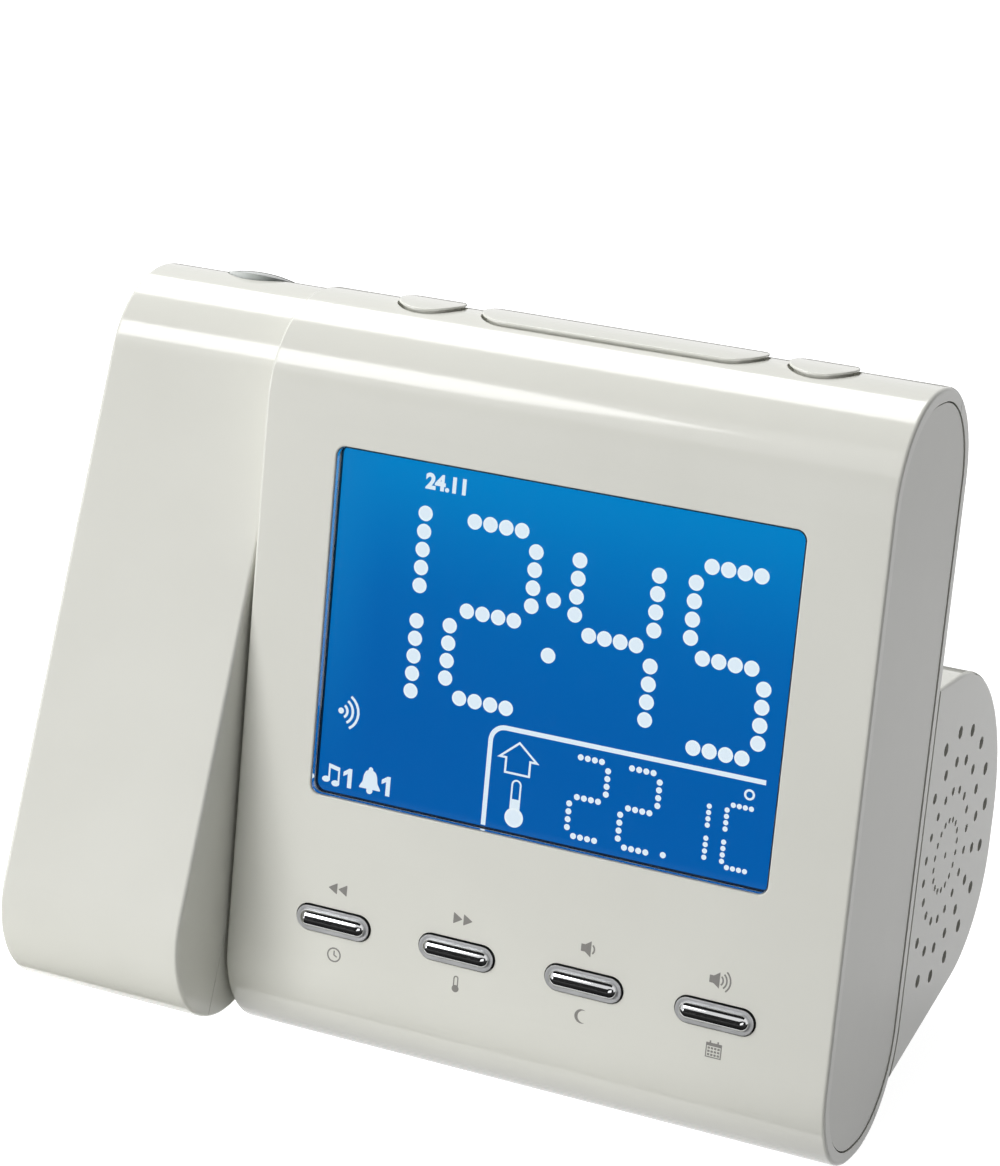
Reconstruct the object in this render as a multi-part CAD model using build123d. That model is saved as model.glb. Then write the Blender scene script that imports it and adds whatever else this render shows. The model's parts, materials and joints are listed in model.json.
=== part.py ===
from build123d import *
import os
from math import cos, radians, sin, tan

# Projection alarm clock: a leaning body with a speaker pod behind it and a swivelling projector arm.
#
# Every piece is drawn upright, in the body's own frame: X to the right, Y to the back, Z up along the
# front face. Y = 0 is the front face and Z = 0 is the height of the display's centre. The arm's pieces
# are drawn about their pivot, with the arm in line with the body. The last section leans the body back,
# swings the arm to its rest angle and sets the origin at the bottom centre of the whole clock.

os.makedirs("parts", exist_ok=True)

# ---------------------------------------------------------------- driving dimensions, mm and degrees

# Body and end panels
body_width = 106.6
body_height = 126.4
body_depth = 36.2
crown_flat = 2.0          # flat strip left between the front and back rounds, top and bottom
lean = 12.0
wall = 2.2
rim_round = 0.6
parting_depth = 28.0      # front face to the joint of the front and rear housings
seam = 0.15               # gap between shells at their joints
panel_thickness = 2.0
panel_recess = 0.15
panel_gap = 0.25

# General clearances
fit_gap = 0.2             # between pieces that are fixed together side by side
running_gap = 0.3         # between a moving piece and its neighbour
bearing_gap = 0.05        # radial, shafts and screws in their bores
over = 1.0                # how far a cutting shape runs past what it cuts

# Display
window_width = 80.0
window_height = 58.2
window_corner = 1.7
window_edge = 0.3          # round along the edge of the window opening
window_drop = 50.7        # top of the body to the window's centre
lens_recess = 0.15
lens_thickness = 1.2
bezel_rim = 0.2           # black edge seen inside the window opening
bezel_overlap = 3.0       # bezel flange behind the front wall
bezel_flange = 0.6
glass_margin = 2.0
glass_thickness = 2.8
guide_thickness = 3.5
tray_wall = 1.5
tray_ear = 6.4

# Front keys
key_names = ("front_key_1", "front_key_2", "front_key_3", "front_key_4")
key_pitch = 22.5
key_length = 13.3
key_height = 4.2
key_rim_proud = 0.45
key_rim_width = 0.85      # rim left around the raised bar
key_bar_rise = 1.2        # bar above the rim
key_bar_round = 1.1
key_row_rise = 8.4        # start of the body's lower round to the middle of the key row

# Top buttons
button_width = 11.0
snooze_length = 48.5
button_spacing = 3.95     # between the long button and a round one
button_proud = 0.7
button_edge = 0.25

# Presses, switches and boards
press_gap = 0.25          # around a key or button in its opening
press_travel = 0.5
flange_width = 1.2
flange_thickness = 1.2
flange_skirt = 1.4        # the top buttons' flanges are deeper, because the wall above them is round
stem_radius = 1.5
stem_length = 1.5
switch_size = 6.0
switch_height = 3.5
plunger_radius = 1.6
plunger_height = 0.8
board_thickness = 1.2
key_board_height = 9.0
key_board_end = 8.0       # board past the centre of the outer key
top_board_width = 13.0
top_board_end = 14.3      # board past the centre of the round button
main_board_width = 87.0
main_board_height = 64.0
main_board_standoff = 3.4
board_edge = 1.0          # board left outside a screw boss
module_size = (30.0, 22.0, 4.0)
module_place = (-18.0, 8.0)
chip_size = (14.0, 14.0, 1.6)
chip_place = (14.0, -6.0)

# Screws
screw_radius = 1.0
screw_head_radius = 2.0
screw_head_height = 1.3
screw_slot_length = 2.4
screw_slot_width = 0.6
screw_slot_depth = 0.7
screw_grip = 4.5          # thread length in a boss
boss_radius = 2.8
boss_sink = 0.5           # a boss beside a wall runs into it by this much
boss_gap = 0.8            # between a boss and the piece beside it
button_post_gap = 2.0     # between a round button's flange and the post beside it
screw_pad = 0.6           # raised seat under a screw head on a rounded wall
counterbore_depth = 1.5
low_boss_height = 10.3    # bottom of the body to its lower bosses

# Loudspeaker and pod
speaker_diameter = 50.0
speaker_setback = 14.8    # back of the body to the speaker's axis
speaker_rise = 42.7       # bottom of the body to the speaker's axis
speaker_back_gap = 0.8
speaker_top_gap = 4.8
speaker_floor_gap = 1.0
gasket_thickness = 0.8
speaker_rim = 2.0         # width of the basket's flange, under the gasket
basket_step = 1.5         # inward step of the basket behind its flange
basket_depth = 12.0
basket_sheet = 1.0
basket_vent = 4.0
magnet_radius = 15.0
magnet_thickness = 7.0
magnet_edge = 3.0         # magnet outside the basket's neck
cone_depth = 8.0
cone_throat = 6.5
cone_surround = 2.2
cone_paper = 0.5
cap_rise = 1.8
pod_floor_slope = 16.2
pod_low_round = 21.0
mouth_side_ledge = 5.0    # rear wall left around the opening into the pod
mouth_top_ledge = 7.5
mouth_floor_ledge = 10.0
pod_boss_length = 7.0
pod_boss_lift = 1.5       # lower pod bosses above the pod's floor
grille_rings = 4
grille_first_ring = 6.1
grille_ring_pitch = 5.1
grille_spokes = 18
grille_hole = 0.55        # radius of the innermost holes
grille_hole_growth = 0.19

# Batteries and their door
cell_radius = 5.25
cell_length = 44.5
cell_nub = 1.0
cell_nub_radius = 1.75
cell_gap = 0.3
spring_length = 5.3
spring_radius = 2.8
spring_wire = 0.35
spring_turns = 4
contact_size = 8.0
contact_thickness = 0.6
door_thickness = 2.0
door_barrel = 1.4
door_pin = 0.7
door_pin_length = 1.5
door_setback = 7.3        # back of the body to the door's hinge
door_offset = -12.0       # middle of the body to the middle of the door
door_ear = 3.0
door_ear_half = 2.6
door_ear_height = 4.2
finger_groove_radius = 2.0
finger_groove_depth = 0.6
finger_groove_length = 17.0
finger_groove_edge = 3.0  # free edge of the door to the groove
battery_wall = 1.2

# Sockets in the back of the pod
socket_drop = 2.7         # below the speaker's axis
jack_offset = -38.0
jack_nose = 4.0
jack_bore = 3.0
jack_bore_depth = 9.5
jack_pin = 1.0
jack_pin_recess = 1.0
jack_body = (10.0, 11.0, 12.0)
gland_offset = -20.0
gland_neck = 2.3
gland_flange = 3.6
gland_flange_thickness = 1.0
gland_bore = 1.5

# Feet
front_foot_offset = 40.0
front_foot_radius = 4.2
front_foot_thickness = 2.0
foot_proud = 1.0
rear_foot_offset = 43.0
rear_foot_setback = 22.0  # back of the body to the rear feet, along the body's depth
post_radius = 5.0
post_spigot = 2.4
post_spigot_reach = 1.0   # past the pod's floor
rear_foot_radius = 4.2
rear_foot_thickness = 1.8

# Arm and its pivot
arm_width = 33.9
arm_height = 123.6
arm_depth = 34.2
arm_crown = 0.6
arm_wall = 2.2
arm_gap = 0.6             # between the body and the arm
arm_swing = 15.8          # the arm's foot stands forward by this angle
pivot_height = 5.5        # above the window centre
arm_pivot_drop = 44.5     # top of the arm to its pivot
shaft_radius = 6.0
shaft_bore = 3.5
shaft_flange_radius = 11.0
shaft_flange_thickness = 2.0
shaft_end = 1.2           # shaft past the clip
groove_depth = 0.8
thrust_ring_radius = 10.0
thrust_ring_height = 0.3
bush_wall = 2.0
bush_flange_width = 2.5
bush_flange_thickness = 1.5
washer_thickness = 0.8
washer_gap = 0.15
clip_thickness = 1.2
clip_width = 3.2
clip_opening = 4.0

# Projector in the arm
barrel_radius = 6.4
barrel_bore = 5.2
barrel_length = 22.4
lens_edge = 2.05
lens_dome = 1.0
lens_crest = 0.85         # top of the lens above the arm
guide_wall = 1.8
guide_length = 14.0
guide_start = 26.0        # above the pivot
frame_half = 7.6
frame_floor = 2.0
frame_web = 6.0           # half width of the web between the optics box and the guide
frame_web_overlap = 2.0
light_bore = 4.5
lamp_level = -4.0         # top of the lamp board, above the pivot
lamp_radius = 2.5
lamp_height = 2.8
lamp_dome = 1.5
condenser_level = -0.5
condenser_radius = 6.0
condenser_edge = 1.5
condenser_dome = 2.5
slide_level = 5.0
slide_half = 6.4
slide_thickness = 1.2
optics_top = 8.3
focus_travel = 1.5
wheel_radius = 8.0
wheel_thickness = 3.0
wheel_proud = 1.5
wheel_level = 14.0
wheel_side = 8.0          # middle of the arm to the wheel's inner face
wheel_shaft = 1.5
wheel_eccentric = 3.0
wheel_pin = 1.0
wheel_knurls = 30
knurl_radius = 0.35
bracket_thickness = 2.0
bracket_half = 3.3
bracket_rise = 5.0        # bracket above the guide's lower end
bracket_step = 1.0        # guide's lower end to the arm that carries the bracket
tail_thickness = 2.8
tail_edge = 1.5           # tail left around the slot
pin_end_gap = 0.3
tail_slot_gap = 0.12
arm_counterbore = 4.5
arm_boss_side = 11.5
arm_high_boss_drop = 8.5  # top of the arm to its upper screws
arm_low_boss_rise = 15.1  # bottom of the arm to its lower screw
driver_board_half = 12.0
driver_board_rise = 23.1  # bottom of the arm to the board
driver_board_gap = 10.8   # board to the lamp board above it
driver_board_depth = 5.0

# ---------------------------------------------------------------- places worked out from the sizes

body_left, body_right = -body_width / 2, body_width / 2
body_top = window_drop
body_bottom = window_drop - body_height
body_middle = body_depth / 2
body_round = (body_depth - crown_flat) / 2
panel_inner = body_right - panel_recess - panel_thickness

lens_back = lens_recess + lens_thickness
glass_front = wall + bezel_flange
guide_front = glass_front + glass_thickness
tray_floor = guide_front + guide_thickness
tray_back = tray_floor + tray_wall
glass_width = window_width + 2 * glass_margin
glass_height = window_height + 2 * glass_margin
tray_half = glass_width / 2 + fit_gap + tray_wall
tray_screw_x = tray_half + tray_ear / 2
tray_screw_z = window_height / 2 - tray_ear
main_board_front = tray_back + main_board_standoff
main_board_back = main_board_front + board_thickness

key_row = body_bottom + body_round + key_row_rise
key_centres = [(index - (len(key_names) - 1) / 2) * key_pitch for index in range(len(key_names))]
press_stack = stem_length + press_travel + running_gap + plunger_height + switch_height
key_board_reach = key_centres[-1] + key_board_end
key_flange_back = wall + running_gap + flange_thickness
key_board_front = key_flange_back + press_stack
button_flange_low = body_top - wall - running_gap - flange_thickness - flange_skirt
top_board_top = button_flange_low - press_stack
alarm_offset = snooze_length / 2 + button_spacing + button_width / 2
top_post_x = alarm_offset + button_width / 2 + flange_width + button_post_gap + boss_radius

speaker_radius = speaker_diameter / 2
speaker_y = body_depth + speaker_setback
speaker_z = body_bottom + speaker_rise
pod_round = speaker_radius + speaker_top_gap + wall
pod_top = speaker_z + pod_round
pod_back = speaker_y + speaker_radius + speaker_back_gap + wall
floor_slope = tan(radians(pod_floor_slope))
gasket_face = body_right - wall
basket_face = gasket_face - gasket_thickness
socket_z = speaker_z - socket_drop

door_length = cell_length + spring_length + 2 * contact_thickness - 2 * running_gap
door_span = 4 * cell_radius + 3 * cell_gap - door_barrel - running_gap
cell_centres = [
    cell_gap + cell_radius - door_barrel - running_gap + index * (2 * cell_radius + cell_gap)
    for index in range(2)
]
cell_level = door_barrel * 2 + running_gap + cell_radius
battery_top = cell_level + cell_radius + cell_gap

pivot_y = body_middle
arm_right = body_left - arm_gap
arm_left = arm_right - arm_width
arm_x = (arm_left + arm_right) / 2
arm_half = arm_depth / 2
arm_top = arm_pivot_drop
arm_bottom = arm_pivot_drop - arm_height
bush_radius = shaft_radius + bush_wall
bush_face = arm_right - arm_wall - bush_flange_thickness
washer_face = bush_face - washer_thickness
clip_face = washer_face - washer_gap
shaft_tip = clip_face - clip_thickness - shaft_end
barrel_top = arm_top + lens_crest - lens_dome - lens_edge
wheel_y = arm_half + wheel_proud - wheel_radius
wheel_inner = arm_x + wheel_side
wheel_outer = wheel_inner + wheel_thickness
pin_y = wheel_y - wheel_eccentric
tail_outer = wheel_inner - 2 * running_gap
tail_inner = tail_outer - tail_thickness


# ---------------------------------------------------------------- drawing helpers


def block(x_span, y_span, z_span):
    """Box from its spans along X, Y and Z."""
    spans = (x_span, y_span, z_span)
    sizes = [high - low for low, high in spans]
    middles = [(low + high) / 2 for low, high in spans]
    return Pos(*middles) * Box(*sizes)


def rod(radius, start, end):
    """Round rod between two points."""
    way = Vector(*end) - Vector(*start)
    base = Cylinder(radius, way.length, align=(Align.CENTER, Align.CENTER, Align.MIN))
    return Plane(origin=start, z_dir=way) * base


def rod_x(radius, x_span, y, z):
    """Rod along X at a height and depth."""
    return rod(radius, (x_span[0], y, z), (x_span[1], y, z))


def rod_y(radius, y_span, x, z):
    """Rod along Y."""
    return rod(radius, (x, y_span[0], z), (x, y_span[1], z))


def rod_z(radius, z_span, x, y):
    """Rod along Z."""
    return rod(radius, (x, y, z_span[0]), (x, y, z_span[1]))


def prism(section, x_low, x_high):
    """Section drawn in Y and Z, extruded along X."""
    return extrude(Plane.YZ.offset(x_low) * section, amount=x_high - x_low)


def rounded_prism(section, x_low, x_high):
    """The same, with its end edges rounded."""
    solid = prism(section, x_low, x_high)
    ends = solid.faces().sort_by(Axis.X)
    return fillet(ends[0].edges() + ends[-1].edges(), rim_round)


def front_plate(sketch, y_low, y_high):
    """Sketch seen from the front, in X and Z, extruded from y_low to y_high."""
    return extrude(Plane.XZ.offset(-y_high) * sketch, amount=y_high - y_low)


def column(sketch, z_low, z_high):
    """Sketch seen from above, in X and Y, extruded from z_low to z_high."""
    return extrude(Plane.XY.offset(z_low) * sketch, amount=z_high - z_low)


def turned(profile, x=0.0, y=0.0, z=0.0):
    """Closed outline of (X, radius) points turned about an axis along X."""
    face = make_face(Polyline(*profile, close=True))
    return Pos(x, y, z) * revolve(face, Axis.X)


def screw(seat, way, length):
    """Cross-head screw with its head on seat and its shank along way."""
    seat, way = Vector(*seat), Vector(*way)
    top = seat - way * screw_head_height
    solid = rod(screw_head_radius, tuple(top), tuple(seat))
    solid += rod(screw_radius, tuple(seat), tuple(seat + way * length))
    cross = Box(screw_slot_length, screw_slot_width, 2 * screw_slot_depth)
    cross += Box(screw_slot_width, screw_slot_length, 2 * screw_slot_depth)
    return solid - Plane(origin=top, z_dir=way) * cross


def screw_bore(seat, way, length, gap=bearing_gap):
    """Hole for a screw's shank, a little deeper than the screw."""
    seat, way = Vector(*seat), Vector(*way)
    return rod(screw_radius + gap, tuple(seat), tuple(seat + way * (length + fit_gap)))


def pair(x):
    """The two mirrored places of something at plus and minus x."""
    return (-x, x)


# ---------------------------------------------------------------- sections of the shells


def body_section(inset=0.0):
    """Upright rounded section of the body, shrunk by inset."""
    radius = body_round - inset
    sketch = RectangleRounded(body_depth - 2 * inset, body_height - 2 * inset, radius)
    return Pos(body_middle, (body_top + body_bottom) / 2) * sketch


def pod_floor(y, inset=0.0):
    """Height of the pod's sloping underside at depth y, inset from the outside."""
    reach = speaker_radius + speaker_floor_gap + wall - inset
    return speaker_z - reach / cos(radians(pod_floor_slope)) + (y - speaker_y) * floor_slope


def pod_section(inset=0.0):
    """Section of the pod, from inside the body to its rounded back, shrunk by inset."""
    back, top = pod_back - inset, pod_top - inset
    corners = [
        (body_middle, top),
        (back, top),
        (back, pod_floor(back, inset)),
        (body_middle, pod_floor(body_middle, inset)),
    ]
    rounds = [0, pod_round - inset, pod_low_round - inset, 0]
    return make_face(FilletPolyline(*corners, radius=rounds, close=True))


def arm_section(inset=0.0):
    """Upright rounded section of the arm about its pivot, shrunk by inset."""
    radius = (arm_depth - arm_crown) / 2 - inset
    sketch = RectangleRounded(arm_depth - 2 * inset, arm_height - 2 * inset, radius)
    return Pos(0, (arm_top + arm_bottom) / 2) * sketch


# ---------------------------------------------------------------- fastening points and foot places

FORWARD, BACKWARD, UPWARD = (0, -1, 0), (0, 1, 0), (0, 0, 1)

tray_ear_seats = [(x, tray_back, z) for x in pair(tray_screw_x) for z in pair(tray_screw_z)]
tray_screw_length = tray_wall + screw_grip

board_corner_x = main_board_width / 2 - boss_radius - board_edge
board_corner_z = main_board_height / 2 - boss_radius - board_edge
main_board_seats = [(x, main_board_back, z) for x in pair(board_corner_x) for z in pair(board_corner_z)]
main_board_screw_length = board_thickness + main_board_standoff - boss_sink

key_board_back = key_board_front + board_thickness
key_board_seats = [(x, key_board_back, key_row) for x in pair(key_pitch)]
board_screw_length = board_thickness + screw_grip

top_board_low = top_board_top - board_thickness
top_board_seats = [(x, body_middle, top_board_low) for x in pair(top_post_x)]

housing_boss_high = (panel_inner - boss_gap - boss_radius, body_top - body_round)
housing_boss_low = (key_board_reach + boss_gap + boss_radius, body_bottom + low_boss_height)
housing_bosses = [(side * x, z) for x, z in (housing_boss_high, housing_boss_low) for side in (-1, 1)]
housing_seat_y = body_depth - wall - counterbore_depth
housing_screw_length = housing_seat_y - parting_depth + 2 * screw_grip

mouth_left = body_left + wall + mouth_side_ledge
mouth_high = pod_top - wall - mouth_top_ledge
mouth_low = pod_floor(body_depth) + wall + mouth_floor_ledge
pod_boss_x = body_right - wall - boss_radius + boss_sink
pod_boss_high = pod_top - wall - boss_radius + boss_sink
pod_boss_low = pod_floor(body_depth, wall) + boss_radius + pod_boss_lift
pod_screw_places = [(x, z) for x in pair(pod_boss_x) for z in (pod_boss_high, pod_boss_low)]
pod_seat_y = body_depth - wall - screw_pad
pod_screw_length = screw_pad + wall + screw_grip

round_centre_y = body_depth - body_round
round_centre_z = body_bottom + body_round
lean_sin, lean_cos = sin(radians(lean)), cos(radians(lean))
body_lowest = round_centre_z * lean_cos - round_centre_y * lean_sin - body_round
front_foot_y = round_centre_y * lean_cos + round_centre_z * lean_sin
ground = body_lowest - foot_proud
rear_foot_local = (body_depth + rear_foot_setback, pod_floor(body_depth + rear_foot_setback))
rear_foot_y = rear_foot_local[0] * lean_cos + rear_foot_local[1] * lean_sin
rear_foot_top = rear_foot_local[1] * lean_cos - rear_foot_local[0] * lean_sin

upright = Rot(lean, 0, 0)     # turns what is drawn along the true vertical into the body's frame

door_plane = Plane(
    origin=(door_offset, body_depth + door_setback, pod_floor(body_depth + door_setback)),
    x_dir=(1, 0, 0),
    z_dir=(0, -sin(radians(pod_floor_slope)), cos(radians(pod_floor_slope))),
)


# ---------------------------------------------------------------- body shells


def body_shell():
    """Open-ended sleeve of the body."""
    sleeve = rounded_prism(body_section(), body_left, body_right)
    return sleeve - prism(body_section(wall), body_left - wall, body_right + wall)


def body_core(inset=wall / 2):
    """Solid that fills the body up to the middle of its wall, to trim bosses against."""
    return prism(body_section(inset), body_left + 2 * wall, body_right - 2 * wall)


def key_outline(grow=0.0):
    """Pill outline of a front key."""
    return SlotOverall(key_length + 2 * grow, key_height + 2 * grow)


def snooze_outline(grow=0.0):
    """Outline of the long top button."""
    return Pos(0, body_middle) * SlotOverall(snooze_length + 2 * grow, button_width + 2 * grow)


def alarm_outline(x, grow=0.0):
    """Outline of a round top button."""
    return Pos(x, body_middle) * Circle(button_width / 2 + grow)


def front_foot_hole(grow=0.0):
    """Space of the two front feet, vertical in the clock's standing position."""
    hole = Part()
    for x in pair(front_foot_offset):
        span = (ground - grow, ground + front_foot_thickness)
        hole += upright * rod_z(front_foot_radius + grow, span, x, front_foot_y)
    return hole


def window_mouth(solid):
    """Edges of the window opening on the front face."""
    edges = solid.edges().filter_by_position(Axis.Y, -window_edge, window_edge)
    edges = edges.filter_by_position(Axis.X, -window_width / 2 - over, window_width / 2 + over)
    return edges.filter_by_position(Axis.Z, -window_height / 2 - over, window_height / 2 + over)


def make_front_housing():
    """Front, top and bottom of the body, with its openings and bosses."""
    front_half = block((body_left - over, body_right + over), (-over, parting_depth - seam / 2),
                       (body_bottom - over, body_top + over))
    solid = body_shell() & front_half
    bosses = Part()
    for x, y, z in tray_ear_seats:
        bosses += rod_y(boss_radius, (0, y - tray_wall), x, z)
    for x, y, z in key_board_seats:
        bosses += rod_y(boss_radius, (0, key_board_front), x, z)
    for x, z in housing_bosses:
        bosses += rod_y(boss_radius, (0, parting_depth - seam / 2), x, z)
    for x, y, z in top_board_seats:
        bosses += rod_z(boss_radius, (top_board_top, body_top), x, y)
    solid += bosses & body_core()
    for seat in tray_ear_seats:
        solid -= screw_bore(seat, FORWARD, tray_screw_length)
    for seat in key_board_seats:
        solid -= screw_bore(seat, FORWARD, board_screw_length)
    for seat in top_board_seats:
        solid -= screw_bore(seat, UPWARD, board_screw_length)
    for x, z in housing_bosses:
        solid -= screw_bore((x, housing_seat_y, z), FORWARD, housing_screw_length)
    solid -= front_plate(RectangleRounded(window_width, window_height, window_corner), -over, wall + over)
    solid = fillet(window_mouth(solid), window_edge)
    for x in key_centres:
        solid -= front_plate(Pos(x, key_row) * key_outline(press_gap), -over, wall + over)
    openings = [snooze_outline(press_gap)] + [alarm_outline(x, press_gap) for x in pair(alarm_offset)]
    for opening in openings:
        solid -= column(opening, body_top - 3 * wall, body_top + over)
    return solid - front_foot_hole(bearing_gap)


def make_rear_housing():
    """Back of the body, with the mouth into the pod."""
    rear_half = block((body_left - over, body_right + over), (parting_depth + seam / 2, body_depth + over),
                      (body_bottom - over, body_top + over))
    solid = body_shell() & rear_half
    bosses = Part()
    for x, z in housing_bosses:
        bosses += rod_y(boss_radius, (parting_depth + seam / 2, body_depth), x, z)
    for x, z in pod_screw_places:
        bosses += rod_y(boss_radius, (pod_seat_y, body_depth), x, z)
    solid += bosses & body_core()
    solid -= block((mouth_left, gasket_face), (body_middle, body_depth + over), (mouth_low, mouth_high))
    for x, z in housing_bosses:
        solid -= screw_bore((x, housing_seat_y, z), FORWARD, housing_screw_length, fit_gap)
        solid -= rod_y(screw_head_radius + fit_gap, (housing_seat_y, body_depth + over), x, z)
    for x, z in pod_screw_places:
        solid -= rod_y(screw_radius + fit_gap, (body_middle, body_depth + over), x, z)
    return solid


def make_end_panel(x_low, x_high):
    """Flat panel let into an end of the body."""
    return prism(body_section(wall + panel_gap), x_low, x_high)


def make_left_panel():
    """Left end panel with the bore and thrust ring of the pivot."""
    outer = body_left + panel_recess
    solid = make_end_panel(outer, outer + panel_thickness)
    solid += rod_x(thrust_ring_radius, (body_left - thrust_ring_height, outer), pivot_y, pivot_height)
    bore = (body_left - over, outer + panel_thickness + over)
    return solid - rod_x(shaft_radius + bearing_gap, bore, pivot_y, pivot_height)


# ---------------------------------------------------------------- display


def make_window_lens():
    width, height = window_width - 2 * fit_gap, window_height - 2 * fit_gap
    return front_plate(RectangleRounded(width, height, window_corner - fit_gap), lens_recess, lens_back)


def make_window_bezel():
    """Black frame: a lip in the window opening and a flange behind the front wall."""
    lip = RectangleRounded(window_width - 2 * fit_gap, window_height - 2 * fit_gap, window_corner - fit_gap)
    flange = Rectangle(window_width + 2 * bezel_overlap, window_height + 2 * bezel_overlap)
    aperture = RectangleRounded(window_width - 2 * bezel_rim, window_height - 2 * bezel_rim,
                                window_corner - bezel_rim)
    solid = front_plate(lip, lens_back, wall) + front_plate(flange, wall, glass_front)
    return solid - front_plate(aperture, lens_back - over, glass_front + over)


def make_display_glass():
    return front_plate(Rectangle(glass_width, glass_height), glass_front, guide_front)


def make_light_guide():
    return front_plate(Rectangle(glass_width, glass_height), guide_front, tray_floor)


def make_display_tray():
    """Tray behind the display, with four screw ears and four posts for the main board."""
    rim = Rectangle(2 * tray_half, glass_height + 2 * (fit_gap + tray_wall))
    pocket = Rectangle(glass_width + 2 * fit_gap, glass_height + 2 * fit_gap)
    solid = front_plate(rim, glass_front, tray_back) - front_plate(pocket, 0, tray_floor)
    for x, y, z in tray_ear_seats:
        inner = tray_half - tray_wall if x > 0 else -tray_half + tray_wall
        outer = tray_half + tray_ear if x > 0 else -tray_half - tray_ear
        span = (min(inner, outer), max(inner, outer))
        solid += block(span, (tray_floor, tray_back), (z - tray_ear / 2, z + tray_ear / 2))
        solid -= screw_bore((x, y, z), FORWARD, tray_screw_length, fit_gap)
    for x, y, z in main_board_seats:
        solid += rod_y(boss_radius, (tray_back, main_board_front), x, z)
        solid -= screw_bore((x, y, z), FORWARD, main_board_screw_length)
    return solid


# ---------------------------------------------------------------- boards and switches


def make_main_board():
    solid = front_plate(Rectangle(main_board_width, main_board_height), main_board_front, main_board_back)
    for seat in main_board_seats:
        solid -= screw_bore(seat, FORWARD, main_board_screw_length, fit_gap)
    return solid


def make_on_board(size, place):
    """Component of a given width, height and thickness on the back of the main board."""
    width, height, thickness = size
    outline = Pos(*place) * Rectangle(width, height)
    return front_plate(outline, main_board_back, main_board_back + thickness)


def make_key_board():
    outline = Pos(0, key_row) * Rectangle(2 * key_board_reach, key_board_height)
    solid = front_plate(outline, key_board_front, key_board_back)
    for seat in key_board_seats:
        solid -= screw_bore(seat, FORWARD, board_screw_length, fit_gap)
    return solid


def make_switch(plane):
    """Push switch standing on its board, along the plane's normal."""
    body = Box(switch_size, switch_size, switch_height, align=(Align.CENTER, Align.CENTER, Align.MIN))
    plunger = rod_z(plunger_radius, (switch_height, switch_height + plunger_height), 0, 0)
    return plane * (body + plunger)


def make_key_switches():
    places = [Plane(origin=(x, key_board_front, key_row), z_dir=FORWARD) for x in key_centres]
    return Part() + [make_switch(place) for place in places]


def make_top_board():
    reach = alarm_offset + top_board_end
    solid = column(Pos(0, body_middle) * Rectangle(2 * reach, top_board_width), top_board_low, top_board_top)
    for seat in top_board_seats:
        solid -= screw_bore(seat, UPWARD, board_screw_length, fit_gap)
    return solid


def make_top_switches():
    places = [Plane(origin=(x, body_middle, top_board_top)) for x in (-alarm_offset, 0, alarm_offset)]
    return Part() + [make_switch(place) for place in places]


# ---------------------------------------------------------------- keys and buttons


def make_front_key(x):
    """Pill key: flat rim with a rounded bar, shank through the wall, flange and stem to the switch."""
    bar = front_plate(key_outline(-key_rim_width), -key_rim_proud - key_bar_rise, 0)
    front = bar.faces().sort_by(Axis.Y)[0]
    solid = fillet(front.edges(), key_bar_round)
    solid += front_plate(key_outline(), -key_rim_proud, key_flange_back)
    solid += front_plate(key_outline(flange_width), wall + running_gap, key_flange_back)
    solid += rod_y(stem_radius, (key_flange_back, key_flange_back + stem_length), 0, 0)
    return Pos(x, 0, key_row) * solid


def make_top_button(outline, flange_outline, x):
    """Top button: crown that follows the body's round, flange under the wall and stem to the switch."""
    crown = prism(body_section(-button_proud), body_left, body_right)
    solid = crown & column(outline, button_flange_low, body_top + button_proud + over)
    sides = solid.faces().filter_by(lambda face: abs(face.normal_at().Z) < 0.1)
    rim = sides.edges().filter_by_position(Axis.Z, body_top - button_edge, body_top + button_proud)
    solid = fillet(rim, button_edge)
    under_wall = prism(body_section(wall + running_gap), body_left, body_right)
    solid += under_wall & column(flange_outline, button_flange_low, body_top)
    stem = (button_flange_low - stem_length, button_flange_low)
    return solid + rod_z(stem_radius, stem, x, body_middle)


# ---------------------------------------------------------------- pod, loudspeaker and inlets


def pod_cavity(x_inset=wall, inset=wall):
    """Space inside the pod."""
    return prism(pod_section(inset), body_left + x_inset, body_right - x_inset)


def grille_holes():
    """Rings of holes that grow outwards, around one hole in the middle; none under the body."""
    holes = rod_x(grille_hole, (gasket_face - over, body_right + over), speaker_y, speaker_z)
    for ring in range(grille_rings):
        radius = grille_first_ring + ring * grille_ring_pitch
        hole = grille_hole + ring * grille_hole_growth
        for spoke in range(grille_spokes):
            angle = radians((spoke + 0.5) * 360 / grille_spokes)
            y = speaker_y + radius * cos(angle)
            z = speaker_z + radius * sin(angle)
            if y > body_depth + hole + rim_round:
                holes += rod_x(hole, (gasket_face - over, body_right + over), y, z)
    return holes


def door_ears(grow=0.0):
    """Blocks inside the pod that carry the ends of the door's hinge, in the door's frame."""
    ears = Part()
    for side in (-1, 1):
        near = side * (door_length / 2 + running_gap - grow)
        far = side * (door_length / 2 + running_gap + door_ear + grow)
        span = (min(near, far), max(near, far))
        ears += block(span, (-door_ear_half - grow, door_ear_half + grow), (wall / 2, door_ear_height + grow))
    return ears


def door_hinge_bore():
    """Blind holes for the hinge pins, in the door's frame."""
    reach = door_length / 2 + running_gap + door_pin_length
    return rod_x(door_pin + bearing_gap, (-reach, reach), 0, door_barrel)


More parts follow.
